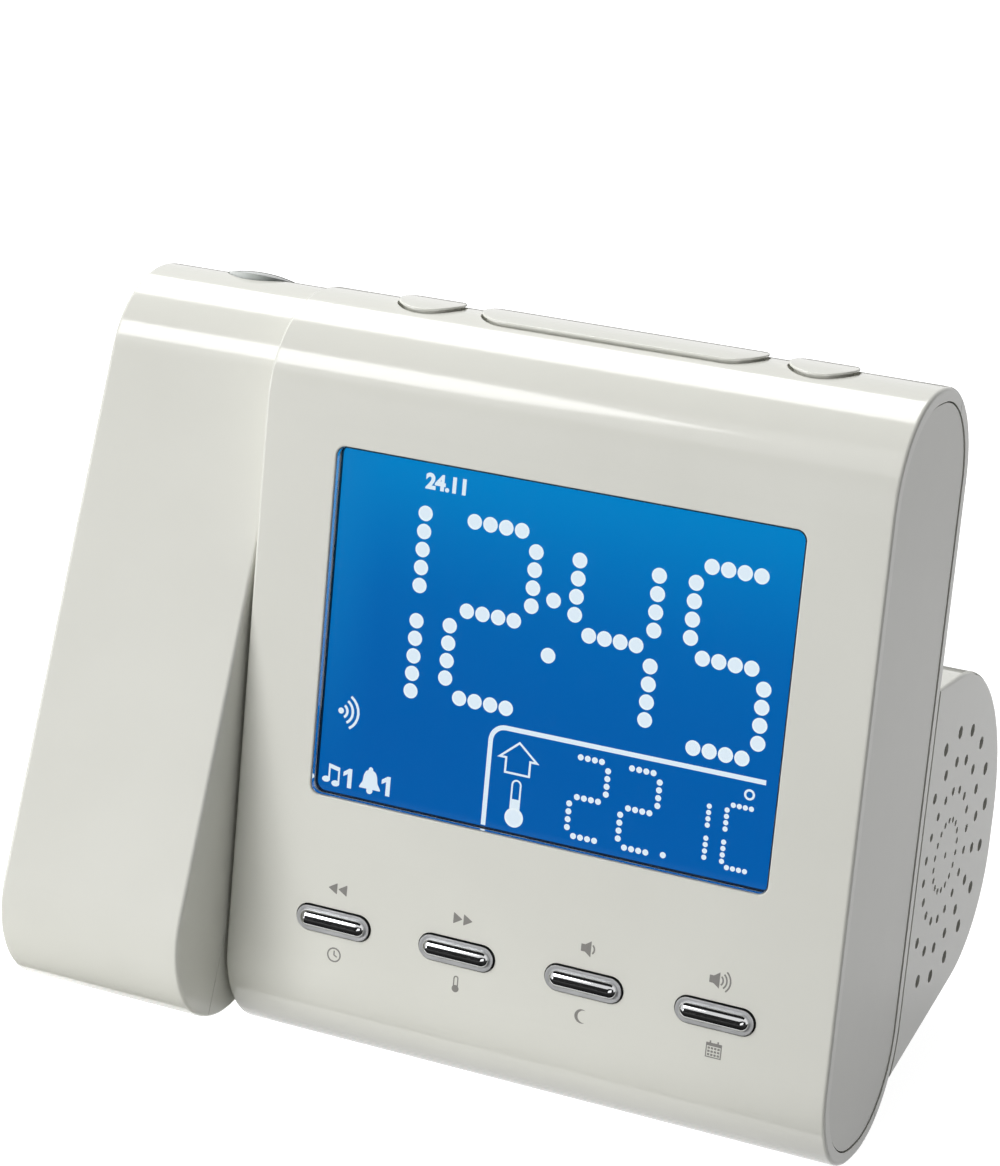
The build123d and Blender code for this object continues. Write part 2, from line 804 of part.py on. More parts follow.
def make_pod_housing():
    """Rounded shell behind the body."""
    solid = rounded_prism(pod_section(), body_left, body_right) - pod_cavity()
    bosses = Part()
    for x, z in pod_screw_places:
        bosses += rod_y(boss_radius, (body_middle, body_depth + pod_boss_length), x, z)
    bosses += door_plane * door_ears()
    solid += bosses & pod_cavity(wall / 2, wall / 2)
    solid -= prism(body_section(-seam), body_left - over, body_right + over)
    for x, z in pod_screw_places:
        solid -= screw_bore((x, pod_seat_y, z), BACKWARD, pod_screw_length)
    solid -= grille_holes()
    opening = block((-door_length / 2 - running_gap, door_length / 2 + running_gap),
                    (-door_barrel - running_gap, door_span + running_gap), (-wall, 2 * wall))
    solid -= door_plane * (opening + door_hinge_bore())
    through = (pod_back - 2 * wall, pod_back + over)
    solid -= rod_y(jack_nose + fit_gap, through, jack_offset, socket_z)
    solid -= rod_y(gland_neck + bearing_gap, through, gland_offset, socket_z)
    return solid - post_spigots(bearing_gap)


def make_speaker_gasket():
    ring = rod_x(speaker_radius, (basket_face, gasket_face), speaker_y, speaker_z)
    through = (basket_face - over, gasket_face + over)
    return ring - rod_x(speaker_radius - speaker_rim, through, speaker_y, speaker_z)


def make_speaker_basket():
    """Pressed basket: flange, step for the cone's rim, conical wall and seat of the magnet."""
    edge, neck, back = speaker_radius, magnet_radius - magnet_edge, -basket_depth - basket_sheet
    inner_rim = edge - speaker_rim
    profile = [
        (0, edge), (0, inner_rim), (-cone_paper, inner_rim), (-cone_paper, inner_rim - basket_step),
        (-basket_depth, neck), (-basket_depth, basket_vent), (back, basket_vent), (back, neck + basket_sheet),
        (-cone_paper - basket_sheet, inner_rim - basket_step + basket_sheet),
        (-cone_paper - basket_sheet, edge),
    ]
    return turned(profile, basket_face, speaker_y, speaker_z)


def make_speaker_cone():
    """Paper cone with its rim and dust cap."""
    rim, throat = speaker_radius - speaker_rim, cone_throat
    cap = -cone_depth + cap_rise
    profile = [
        (0, rim), (0, rim - cone_surround), (-cone_depth, throat), (cap, 0), (cap - cone_paper, 0),
        (-cone_depth - 2 * cone_paper, throat + cone_paper), (-cone_paper, rim - cone_surround - cone_paper),
        (-cone_paper, rim),
    ]
    return turned(profile, basket_face, speaker_y, speaker_z)


def make_speaker_magnet():
    front = basket_face - basket_depth - basket_sheet
    return rod_x(magnet_radius, (front - magnet_thickness, front), speaker_y, speaker_z)


def make_dc_jack():
    """Barrel socket: nose in the pod's wall, bore with its centre pin, block inside."""
    width, depth, height = jack_body
    face = pod_back - wall - running_gap
    solid = block((jack_offset - width / 2, jack_offset + width / 2), (face - depth, face),
                  (socket_z - height / 2, socket_z + height / 2))
    solid += rod_y(jack_nose, (face - over, pod_back), jack_offset, socket_z)
    bore_end = pod_back - jack_bore_depth
    solid -= rod_y(jack_bore, (bore_end, pod_back + over), jack_offset, socket_z)
    return solid + rod_y(jack_pin, (bore_end, pod_back - jack_pin_recess), jack_offset, socket_z)


def make_antenna_gland():
    """Grommet for an antenna wire."""
    inner = pod_back - wall - running_gap
    solid = rod_y(gland_flange, (pod_back, pod_back + gland_flange_thickness), gland_offset, socket_z)
    solid += rod_y(gland_neck, (inner, pod_back), gland_offset, socket_z)
    solid += rod_y(gland_flange, (inner - gland_flange_thickness, inner), gland_offset, socket_z)
    through = (inner - gland_flange_thickness - over, pod_back + gland_flange_thickness + over)
    return solid - rod_y(gland_bore, through, gland_offset, socket_z)


# ---------------------------------------------------------------- batteries and their door


def make_battery_door():
    """Door with its hinge barrel along the front edge and a finger groove at the other."""
    half = door_length / 2
    solid = block((-half, half), (0, door_span), (0, door_thickness))
    solid += rod_x(door_barrel, (-half, half), 0, door_barrel)
    pin_reach = half + running_gap + door_pin_length - fit_gap
    solid += rod_x(door_pin, (-pin_reach, pin_reach), 0, door_barrel)
    groove = (-finger_groove_length / 2, finger_groove_length / 2)
    groove_y, groove_z = door_span - finger_groove_edge, finger_groove_depth - finger_groove_radius
    return door_plane * (solid - rod_x(finger_groove_radius, groove, groove_y, groove_z))


def make_battery_tray():
    """Box over the door opening that holds the cells."""
    half = door_length / 2 + running_gap
    front, back = -door_barrel - running_gap, door_span + running_gap
    outer = block((-half - battery_wall, half + battery_wall), (front - battery_wall, back + battery_wall),
                  (wall, battery_top + battery_wall))
    inner = block((-half, half), (front, back), (0, battery_top))
    solid = door_plane * (outer - inner - door_ears(fit_gap))
    return solid & pod_cavity()


def cell_ends(index):
    """X of the contact wall at a cell's negative and positive end; the cells lie opposite ways."""
    half = door_length / 2 + running_gap
    return (half, -half) if index == 0 else (-half, half)


def make_batteries():
    """Two cells side by side."""
    cells = []
    for index, centre in enumerate(cell_centres):
        negative, positive = cell_ends(index)
        way = 1 if positive > negative else -1
        start = negative + way * (contact_thickness + spring_length)
        shoulder = start + way * (cell_length - cell_nub)
        tip = positive - way * contact_thickness
        cell = rod_x(cell_radius, tuple(sorted((start, shoulder))), centre, cell_level)
        cells.append(cell + rod_x(cell_nub_radius, tuple(sorted((shoulder, tip))), centre, cell_level))
    return door_plane * (Part() + cells)


def make_contact_plate(wall_x, centre):
    """Square contact against an end wall of the battery tray."""
    way = -1 if wall_x > 0 else 1
    span = tuple(sorted((wall_x, wall_x + way * contact_thickness)))
    half = contact_size / 2
    return block(span, (centre - half, centre + half), (cell_level - half, cell_level + half))


def make_battery_springs():
    """Contact plate and coil at each cell's negative end."""
    springs = []
    for index, centre in enumerate(cell_centres):
        negative = cell_ends(index)[0]
        way = -1 if negative > 0 else 1
        height = spring_length - 2 * spring_wire
        coil = Helix(height / spring_turns, height, spring_radius)
        section = Plane(origin=coil @ 0, z_dir=coil % 0) * Circle(spring_wire)
        wire = sweep(section, path=coil, is_frenet=True)
        base = negative + way * (contact_thickness + spring_wire)
        place = Plane(origin=(base, centre, cell_level), z_dir=(way, 0, 0))
        springs += [make_contact_plate(negative, centre), place * wire]
    return door_plane * (Part() + springs)


def make_battery_plates():
    """Flat contact at each cell's positive end."""
    plates = [make_contact_plate(cell_ends(index)[1], centre) for index, centre in enumerate(cell_centres)]
    return door_plane * (Part() + plates)


# ---------------------------------------------------------------- feet


def make_front_feet():
    """Rubber pads let into the round underside, trimmed to the ground."""
    return front_foot_hole()


def post_spigots(grow=0.0):
    """Spigots of the rear posts in the pod's floor."""
    spigots = Part()
    for x in pair(rear_foot_offset):
        span = (rear_foot_top - over, rear_foot_top + wall + post_spigot_reach)
        spigots += upright * rod_z(post_spigot + grow, span, x, rear_foot_y)
    return spigots


def make_foot_posts():
    """Two posts that carry the pod, cut to fit its sloping floor."""
    posts = Part()
    post_low = ground + foot_proud
    for x in pair(rear_foot_offset):
        posts += upright * rod_z(post_radius, (post_low, rear_foot_top + post_radius), x, rear_foot_y)
    posts -= prism(pod_section(), body_left - over, body_right + over)
    posts += post_spigots()
    return posts - rear_foot_space(bearing_gap)


def rear_foot_space(grow=0.0):
    """Space of the two rear pads."""
    space = Part()
    for x in pair(rear_foot_offset):
        span = (ground - grow, ground + rear_foot_thickness)
        space += upright * rod_z(rear_foot_radius + grow, span, x, rear_foot_y)
    return space


# ---------------------------------------------------------------- pivot of the arm


def make_pivot_shaft():
    """Hollow shaft through the left panel, with a flange inside and a groove for the clip."""
    inner = body_left + panel_recess + panel_thickness
    solid = rod_x(shaft_flange_radius, (inner, inner + shaft_flange_thickness), pivot_y, pivot_height)
    solid += rod_x(shaft_radius, (shaft_tip, inner), pivot_y, pivot_height)
    groove_span = (clip_face - clip_thickness - bearing_gap, clip_face + bearing_gap)
    groove = rod_x(shaft_radius + over, groove_span, pivot_y, pivot_height)
    groove -= rod_x(shaft_radius - groove_depth, groove_span, pivot_y, pivot_height)
    bore = rod_x(shaft_bore, (shaft_tip - over, inner + shaft_flange_thickness + over), pivot_y, pivot_height)
    return solid - groove - bore


def make_pivot_clip():
    """Open retaining clip in the shaft's groove."""
    span = (clip_face - clip_thickness, clip_face)
    inner = shaft_radius - groove_depth + bearing_gap
    solid = rod_x(inner + clip_width, span, pivot_y, pivot_height)
    solid -= rod_x(inner, (span[0] - over, span[1] + over), pivot_y, pivot_height)
    opening_y = (pivot_y - clip_opening / 2, pivot_y + clip_opening / 2)
    opening_z = (pivot_height - 2 * shaft_radius, pivot_height)
    return solid - block((span[0] - over, span[1] + over), opening_y, opening_z)


def make_pivot_bush():
    """Flanged bush in the arm's right wall."""
    face = arm_right - arm_wall
    solid = rod_x(bush_radius, (face, arm_right), 0, 0)
    solid += rod_x(bush_radius + bush_flange_width, (bush_face, face), 0, 0)
    return solid - rod_x(shaft_radius + bearing_gap, (bush_face - over, arm_right + over), 0, 0)


def make_friction_washer():
    """Spring washer between the bush and the clip."""
    span = (washer_face, bush_face)
    solid = rod_x(bush_radius + bush_flange_width - fit_gap, span, 0, 0)
    return solid - rod_x(shaft_radius + running_gap, (washer_face - over, bush_face + over), 0, 0)


# ---------------------------------------------------------------- arm shells

arm_bosses = [(arm_x + x, arm_top - arm_high_boss_drop) for x in pair(arm_boss_side)]
arm_bosses.append((arm_x, arm_bottom + arm_low_boss_rise))
arm_seat_y = arm_half - arm_counterbore
arm_screw_length = arm_seat_y + screw_grip
driver_board_low = arm_bottom + driver_board_rise
driver_board_high = lamp_level - board_thickness - driver_board_gap
driver_post_x = driver_board_half - boss_radius - board_edge
driver_post_levels = (
    driver_board_low + boss_radius + board_edge,
    driver_board_high - boss_radius - board_edge,
)
driver_posts = [(arm_x + x, z) for x in pair(driver_post_x) for z in driver_post_levels]


def arm_shell():
    """Closed hollow shell of the arm."""
    solid = rounded_prism(arm_section(), arm_left, arm_right)
    return solid - prism(arm_section(arm_wall), arm_left + arm_wall, arm_right - arm_wall)


def arm_core():
    """Solid that fills the arm up to the middle of its wall."""
    return prism(arm_section(arm_wall / 2), arm_left + arm_wall / 2, arm_right - arm_wall / 2)


def arm_openings():
    """Round openings of the lens and the pivot bush, which both half shells share."""
    lens_hole = rod_z(barrel_radius + running_gap, (guide_start, arm_top + lens_crest + over), arm_x, 0)
    bush_hole = rod_x(bush_radius + bearing_gap, (arm_right - 2 * arm_wall, arm_right + over), 0, 0)
    return lens_hole + bush_hole


def make_arm_front_shell():
    half = block((arm_left - over, arm_right + over), (-arm_half - over, -seam / 2),
                 (arm_bottom - over, arm_top + over))
    solid = arm_shell() & half
    bosses = Part() + [rod_y(boss_radius, (-arm_half, -seam / 2), x, z) for x, z in arm_bosses]
    solid += bosses & arm_core()
    for x, z in arm_bosses:
        solid -= screw_bore((x, arm_seat_y, z), FORWARD, arm_screw_length)
    return solid - arm_openings()


def make_arm_rear_shell():
    half = block((arm_left - over, arm_right + over), (seam / 2, arm_half + over),
                 (arm_bottom - over, arm_top + over))
    solid = arm_shell() & half
    bosses = Part() + [rod_y(boss_radius, (seam / 2, arm_half), x, z) for x, z in arm_bosses]
    bosses += [rod_y(boss_radius, (driver_board_depth + board_thickness, arm_half), x, z)
               for x, z in driver_posts]
    solid += bosses & arm_core()
    for x, z in arm_bosses:
        solid -= screw_bore((x, arm_seat_y, z), FORWARD, arm_screw_length, fit_gap)
        solid -= rod_y(screw_head_radius + fit_gap, (arm_seat_y, arm_half + over), x, z)
    for x, z in driver_posts:
        solid -= screw_bore((x, driver_board_depth, z), BACKWARD, board_screw_length)
    wheel_slot = (wheel_inner - running_gap, wheel_outer + running_gap)
    solid -= rod_x(wheel_radius + running_gap, wheel_slot, wheel_y, wheel_level)
    return solid - arm_openings()


# ---------------------------------------------------------------- projector


def make_projector_frame():
    """Chassis of the projector: optics box, guide tube, webs between them and the wheel's bracket."""
    half, bore = frame_half, barrel_radius + bearing_gap
    guide_top = guide_start + guide_length
    low = lamp_level - frame_floor
    reach = arm_half - arm_wall - fit_gap
    solid = block((arm_x - half, arm_x + half), (-half, half), (low, optics_top))
    solid += block((arm_x - half, arm_x + half), (-reach, reach), (low, lamp_level))
    solid += rod_z(bore + guide_wall, (guide_start, guide_top), arm_x, 0)
    solid += block((arm_x - frame_web, arm_x + frame_web), (-bore - guide_wall, -bore - running_gap),
                   (optics_top - frame_web_overlap, guide_start + frame_web_overlap))
    bracket = (wheel_outer + running_gap, wheel_outer + running_gap + bracket_thickness)
    bracket_y = (wheel_y - bracket_half, wheel_y + bracket_half)
    bracket_top = guide_start + bracket_rise
    solid += block(bracket, bracket_y, (wheel_level - bracket_half, bracket_top))
    solid += block((arm_x, bracket[1]), (bore, bracket_y[1]), (guide_start + bracket_step, bracket_top))
    solid -= rod_x(wheel_shaft + bearing_gap, (wheel_outer, bracket[1] + over), wheel_y, wheel_level)
    solid -= rod_z(bore, (optics_top, guide_top + over), arm_x, 0)
    solid -= rod_z(light_bore, (low - over, optics_top + over), arm_x, 0)
    solid -= rod_z(condenser_radius + bearing_gap, (condenser_level, optics_top), arm_x, 0)
    pocket = slide_half + fit_gap
    pocket_x = (arm_x - pocket, arm_x + pocket)
    solid -= block(pocket_x, (-pocket, pocket), (slide_level, optics_top + over))
    return solid - block(pocket_x, (-pocket, pocket), (low - over, lamp_level))


def make_lamp_board():
    level = (lamp_level - board_thickness, lamp_level)
    return block((arm_x - slide_half, arm_x + slide_half), (-slide_half, slide_half), level)


def make_projector_lamp():
    """Lamp with its dome."""
    dome_level = lamp_level + lamp_height - lamp_dome
    solid = rod_z(lamp_radius, (lamp_level, dome_level), arm_x, 0)
    return solid + dome(lamp_radius, lamp_dome, dome_level)


def dome(radius, height, level):
    """Spherical cap on the arm's optical axis."""
    ball = (radius ** 2 + height ** 2) / (2 * height)
    cap = Pos(arm_x, 0, level + height - ball) * Sphere(ball)
    return cap & rod_z(radius, (level, level + height + over), arm_x, 0)


def make_condenser_lens():
    level = condenser_level + condenser_edge
    solid = rod_z(condenser_radius, (condenser_level, level), arm_x, 0)
    return solid + dome(condenser_radius, condenser_dome, level)


def make_slide_display():
    level = (slide_level, slide_level + slide_thickness)
    return block((arm_x - slide_half, arm_x + slide_half), (-slide_half, slide_half), level)


def make_driver_board():
    solid = block((arm_x - driver_board_half, arm_x + driver_board_half),
                  (driver_board_depth, driver_board_depth + board_thickness),
                  (driver_board_low, driver_board_high))
    for x, z in driver_posts:
        solid -= screw_bore((x, driver_board_depth - over, z), BACKWARD, board_screw_length, fit_gap)
    return solid


def make_focus_wheel():
    """Knurled thumb wheel with a stub shaft outside and an eccentric pin inside."""
    solid = rod_x(wheel_radius, (wheel_inner, wheel_outer), wheel_y, wheel_level)
    knurls = Part()
    for index in range(wheel_knurls):
        angle = radians(index * 360 / wheel_knurls)
        y = wheel_y + wheel_radius * cos(angle)
        z = wheel_level + wheel_radius * sin(angle)
        knurls += rod_x(knurl_radius, (wheel_inner - over, wheel_outer + over), y, z)
    solid -= knurls
    solid += rod_x(wheel_shaft, (wheel_outer, wheel_outer + running_gap + bracket_thickness), wheel_y,
                   wheel_level)
    pin = (tail_inner + pin_end_gap, wheel_inner)
    return solid + rod_x(wheel_pin, pin, pin_y, wheel_level)


def make_lens_barrel():
    """Sliding barrel with a slotted tail that the wheel's pin drives."""
    solid = rod_z(barrel_radius, (barrel_top - barrel_length, barrel_top), arm_x, 0)
    tail_top = guide_start - focus_travel - running_gap
    slot_half = wheel_pin + tail_slot_gap
    tail_back = pin_y + wheel_pin + tail_edge
    tail_low = wheel_level - slot_half - tail_edge
    solid += block((tail_inner, tail_outer), (0, tail_back), (tail_low, tail_top))
    solid -= rod_z(barrel_bore, (tail_low - over, barrel_top + over), arm_x, 0)
    slot_y = (pin_y - wheel_pin - running_gap, tail_back + over)
    slot_z = (wheel_level - slot_half, wheel_level + slot_half)
    return solid - block((tail_inner - over, tail_outer + over), slot_y, slot_z)


def make_projector_lens():
    """Domed lens on the barrel's end."""
    level = barrel_top + lens_edge
    return rod_z(barrel_radius, (barrel_top, level), arm_x, 0) + dome(barrel_radius, lens_dome, level)


# ---------------------------------------------------------------- screws


def screws(seats, way, length):
    """Group of equal screws."""
    return Part() + [screw(seat, way, length) for seat in seats]


def make_board_screws():
    solid = screws(main_board_seats, FORWARD, main_board_screw_length)
    solid += screws(key_board_seats, FORWARD, board_screw_length)
    return solid + screws(top_board_seats, UPWARD, board_screw_length)


def make_arm_screws():
    seats = [(x, arm_seat_y, z) for x, z in arm_bosses]
    driver_seats = [(x, driver_board_depth, z) for x, z in driver_posts]
    return screws(seats, FORWARD, arm_screw_length) + screws(driver_seats, BACKWARD, board_screw_length)


# ---------------------------------------------------------------- all pieces

body_nodes = {
    "front_housing": make_front_housing(),
    "rear_housing": make_rear_housing(),
    "pod_housing": make_pod_housing(),
    "right_panel": make_end_panel(panel_inner, panel_inner + panel_thickness),
    "left_panel": make_left_panel(),
    "window_lens": make_window_lens(),
    "window_bezel": make_window_bezel(),
    "display_glass": make_display_glass(),
    "light_guide": make_light_guide(),
    "display_tray": make_display_tray(),
    "main_board": make_main_board(),
    "radio_module": make_on_board(module_size, module_place),
    "clock_chip": make_on_board(chip_size, chip_place),
    "key_board": make_key_board(),
    "key_switches": make_key_switches(),
    "top_board": make_top_board(),
    "top_switches": make_top_switches(),
    "speaker_gasket": make_speaker_gasket(),
    "speaker_basket": make_speaker_basket(),
    "speaker_cone": make_speaker_cone(),
    "speaker_magnet": make_speaker_magnet(),
    "battery_tray": make_battery_tray(),
    "batteries": make_batteries(),
    "battery_springs": make_battery_springs(),
    "battery_plates": make_battery_plates(),
    "dc_jack": make_dc_jack(),
    "antenna_gland": make_antenna_gland(),
    "pivot_shaft": make_pivot_shaft(),
    "pivot_clip": make_pivot_clip(),
    "housing_screws": screws([(x, housing_seat_y, z) for x, z in housing_bosses], FORWARD,
                             housing_screw_length),
    "pod_screws": screws([(x, pod_seat_y, z) for x, z in pod_screw_places], BACKWARD,
                         pod_screw_length),
    "tray_screws": screws(tray_ear_seats, FORWARD, tray_screw_length),
    "board_screws": make_board_screws(),
    "front_feet": make_front_feet(),
    "foot_posts": make_foot_posts(),
    "rear_feet": rear_foot_space(),
    "alarm_button_left": make_top_button(alarm_outline(-alarm_offset),
                                         alarm_outline(-alarm_offset, flange_width), -alarm_offset),
    "snooze_button": make_top_button(snooze_outline(), snooze_outline(flange_width), 0),
    "alarm_button_right": make_top_button(alarm_outline(alarm_offset),
                                          alarm_outline(alarm_offset, flange_width), alarm_offset),
    "battery_door": make_battery_door(),
}
for name, centre in zip(key_names, key_centres):
    body_nodes[name] = make_front_key(centre)

arm_nodes = {
    "arm_front_shell": make_arm_front_shell(),
    "arm_rear_shell": make_arm_rear_shell(),
    "pivot_bush": make_pivot_bush(),
    "friction_washer": make_friction_washer(),
    "projector_frame": make_projector_frame(),
    "lamp_board": make_lamp_board(),
    "projector_lamp": make_projector_lamp(),
    "condenser_lens": make_condenser_lens(),
    "slide_display": make_slide_display(),
    "driver_board": make_driver_board(),
    "arm_screws": make_arm_screws(),
    "focus_wheel": make_focus_wheel(),
    "lens_barrel": make_lens_barrel(),
    "projector_lens": make_projector_lens(),
}

# ---------------------------------------------------------------- stand the clock up and write it

leaning = Rot(-lean, 0, 0)
swung = leaning * Pos(0, pivot_y, pivot_height) * Rot(-arm_swing, 0, 0)
standing = {name: leaning * solid for name, solid in body_nodes.items()}
standing.update({name: swung * solid for name, solid in arm_nodes.items()})

extent = Compound(children=[Compound(solid.solids()) for solid in standing.values()]).bounding_box()
origin = Pos(-extent.center().X, -extent.center().Y, -extent.min.Z)

for name, solid in standing.items():
    export_step(origin * solid, f"parts/{name}.step")
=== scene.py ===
# %% [markdown]
# # Dressing a projection alarm clock
#
# The clock arrives as exact solids that only know their shape. This notebook gives every solid the finish
# of the real thing, adds what a drawing office leaves to the printer and the display maker, and sets up a
# small photo studio. All lengths are metres, as in the solids, and sizes in the text are millimetres.

# %% Load the solids
import json
import math

import bmesh
import bpy
import numpy as np
from mathutils import Matrix, Vector


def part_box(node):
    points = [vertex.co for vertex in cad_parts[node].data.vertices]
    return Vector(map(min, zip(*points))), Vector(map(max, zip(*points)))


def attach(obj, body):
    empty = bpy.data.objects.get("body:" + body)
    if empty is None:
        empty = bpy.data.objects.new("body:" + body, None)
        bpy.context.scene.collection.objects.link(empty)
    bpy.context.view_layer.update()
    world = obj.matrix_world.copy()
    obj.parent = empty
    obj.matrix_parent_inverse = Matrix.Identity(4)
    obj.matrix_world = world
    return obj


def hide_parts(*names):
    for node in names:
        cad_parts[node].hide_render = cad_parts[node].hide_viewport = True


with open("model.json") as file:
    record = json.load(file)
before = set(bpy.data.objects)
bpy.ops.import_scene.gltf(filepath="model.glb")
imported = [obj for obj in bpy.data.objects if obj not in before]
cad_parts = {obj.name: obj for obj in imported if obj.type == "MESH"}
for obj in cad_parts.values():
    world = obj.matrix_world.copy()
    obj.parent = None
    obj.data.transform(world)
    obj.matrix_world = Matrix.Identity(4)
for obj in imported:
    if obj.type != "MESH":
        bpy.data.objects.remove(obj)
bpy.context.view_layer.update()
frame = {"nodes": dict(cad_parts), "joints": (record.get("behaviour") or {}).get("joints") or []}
solids = frame["nodes"]
print("solids loaded:", len(solids))

# %% [markdown]
# ## A leaning workbench
#
# The clock's body leans back by 12 degrees. Printing a mark "2 mm above the key" is awkward in upright
# coordinates, so the body gets its own bench, in millimetres: the first number goes to the right, the second
# into the clock and the third up along the leaning front. A bench could be an empty object with everything
# parented to it, but every finished piece has to sit at the origin, so here a bench is only a turn and a
# place that are worked into the points.

# %% The body's bench
MM = 0.001
BODY_LEAN = math.radians(12.0)
PIVOT_ON_BODY = np.array([0.0, 18.1, 5.5])


def leaning(angle):
    """Turn that leans a bench back: depth becomes (0, cos, -sin) and height becomes (0, sin, cos)."""
    c, s = math.cos(angle), math.sin(angle)
    return np.array([[1.0, 0.0, 0.0], [0.0, c, s], [0.0, -s, c]])


pivot = np.array(next(j for j in frame["joints"] if j["name"] == "arm_swivel")["pos_m"])
body_turn = leaning(BODY_LEAN)
face_low, face_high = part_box("front_housing")
body_origin = pivot - body_turn @ (PIVOT_ON_BODY * MM)
body_origin[0] = (face_low.x + face_high.x) / 2


def on_body(points):
    """Body bench to the clock: points times 0.001, turned by the lean and moved to the window's centre."""
    return np.asarray(points, float) * MM @ body_turn.T + body_origin


print("window centre:", body_origin.round(4))

# %% [markdown]
# ## From numbers to pieces
#
# A piece could be built click by click with primitive shapes and modifiers. Here it is worked out as arrays
# instead: a surface is a grid of points from two parameters, so one formula gives all its points at once,
# and Blender only receives the finished list. Merging the doubles afterwards closes the poles, where a whole
# row of the grid falls on one point. Shading is smooth over gentle turns and breaks at the crisp ones.

# %% A mesh from arrays
MERGE_WITHIN, FLAT_BELOW = 2e-7, 1e-7
CRISP_FROM = math.radians(40.0)


def grid_faces(rows, columns, around=False):
    """Four-cornered faces between neighbours of a grid stored row by row; around closes each row."""
    row = np.arange(rows - 1)[:, None]
    column = np.arange(columns if around else columns - 1)[None, :]
    here, right = row * columns + column, row * columns + (column + 1) % columns
    return np.stack([here, right, right + columns, here + columns], axis=-1).reshape(-1, 4)


def make_piece(name, shape, finish, body, part=None, smooth=True):
    """Puts a shape on the body's bench into a mesh. A shape is its points and faces and, where it has one, a
    number per point, kept as the first UV. part says for each face which of several finishes it has."""
    points, faces, *value = shape
    mesh = bpy.data.meshes.new(name)
    mesh.from_pydata(on_body(points).tolist(), [], [list(map(int, face)) for face in faces])
    if value:
        corner = np.zeros(len(mesh.loops), np.int32)
        mesh.loops.foreach_get("vertex_index", corner)
        place = np.stack([np.asarray(value[0], float)[corner], np.zeros(len(corner))], axis=-1)
        mesh.uv_layers.new(name="across").data.foreach_set("uv", place.ravel().astype(np.float32))
    for material in finish if isinstance(finish, tuple) else (finish,):
        mesh.materials.append(material)
    if part is not None:
        mesh.polygons.foreach_set("material_index", np.asarray(part, np.int32))
    mesh.polygons.foreach_set("use_smooth", [smooth] * len(mesh.polygons))
    mesh.update()
    piece = bpy.data.objects.new(name, mesh)
    bpy.context.scene.collection.objects.link(piece)
    close_mesh(mesh)
    mesh.set_sharp_from_angle(angle=CRISP_FROM)
    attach(piece, body)
    return piece


def close_mesh(mesh):
    """Merges doubled points, drops what they leave flat and turns every face outwards."""
    work = bmesh.new()
    work.from_mesh(mesh)
    bmesh.ops.remove_doubles(work, verts=work.verts, dist=MERGE_WITHIN)
    bmesh.ops.dissolve_degenerate(work, edges=work.edges, dist=FLAT_BELOW)
    bmesh.ops.recalc_face_normals(work, faces=work.faces)
    work.to_mesh(mesh)
    work.free()


print("grid of 3 by 4 points has", len(grid_faces(3, 4)), "faces")

# %% [markdown]
# ## Colours and nodes
#
# Paint makers and screens give colours as sRGB hex values, while Blender's shaders count light, so one
# function converts them. Every finish below is a Principled shader with a few nodes in front of it, and one
# small function adds a node, sets it up and connects it in a single line.

# %% Colour and node helpers


def light_of(hex_value):
    """sRGB hex to linear light: divide by 12.92 near black, else ((c + 0.055) / 1.055) to the power 2.4."""
    parts = np.array([int(hex_value[i:i + 2], 16) for i in (1, 3, 5)]) / 255.0
    linear = np.where(parts <= 0.04045, parts / 12.92, ((parts + 0.055) / 1.055) ** 2.4)
    return (*linear.tolist(), 1.0)


def add(tree, kind, inputs=None, **settings):
    """Adds one node. inputs names sockets with a value, or with the output socket that feeds them."""
    node = tree.nodes.new(kind)
    for key, value in settings.items():
        setattr(node, key, value)
    for key, value in (inputs or {}).items():
        if isinstance(value, bpy.types.NodeSocket):
            tree.links.new(value, node.inputs[key])
        else:
            node.inputs[key].default_value = value
    return node


def set_stops(node, stops):
    """Gives a colour ramp its stops, each a place from 0 to 1 and an sRGB colour, from the lowest up."""
    elements = node.color_ramp.elements
    elements[0].position, elements[1].position = stops[0][0], stops[-1][0]
    for position, _ in stops[1:-1]:
        elements.new(position)
    for element, (_, colour) in zip(elements, stops):
        element.color = light_of(colour)


def new_finish(name, **numbers):
    """A material with an empty Principled shader, whose uniform numbers are set on its own sockets."""
    material = bpy.data.materials.new(name)
    material.use_nodes = True
    tree = material.node_tree
    shader = tree.nodes["Principled BSDF"]
    for key, value in numbers.items():
        shader.inputs[key.replace("_", " ")].default_value = value
    place = add(tree, "ShaderNodeTexCoord").outputs["Object"]
    return material, tree, shader, place


DRIFT_LOW, DRIFT_HIGH = 0.3, 0.7


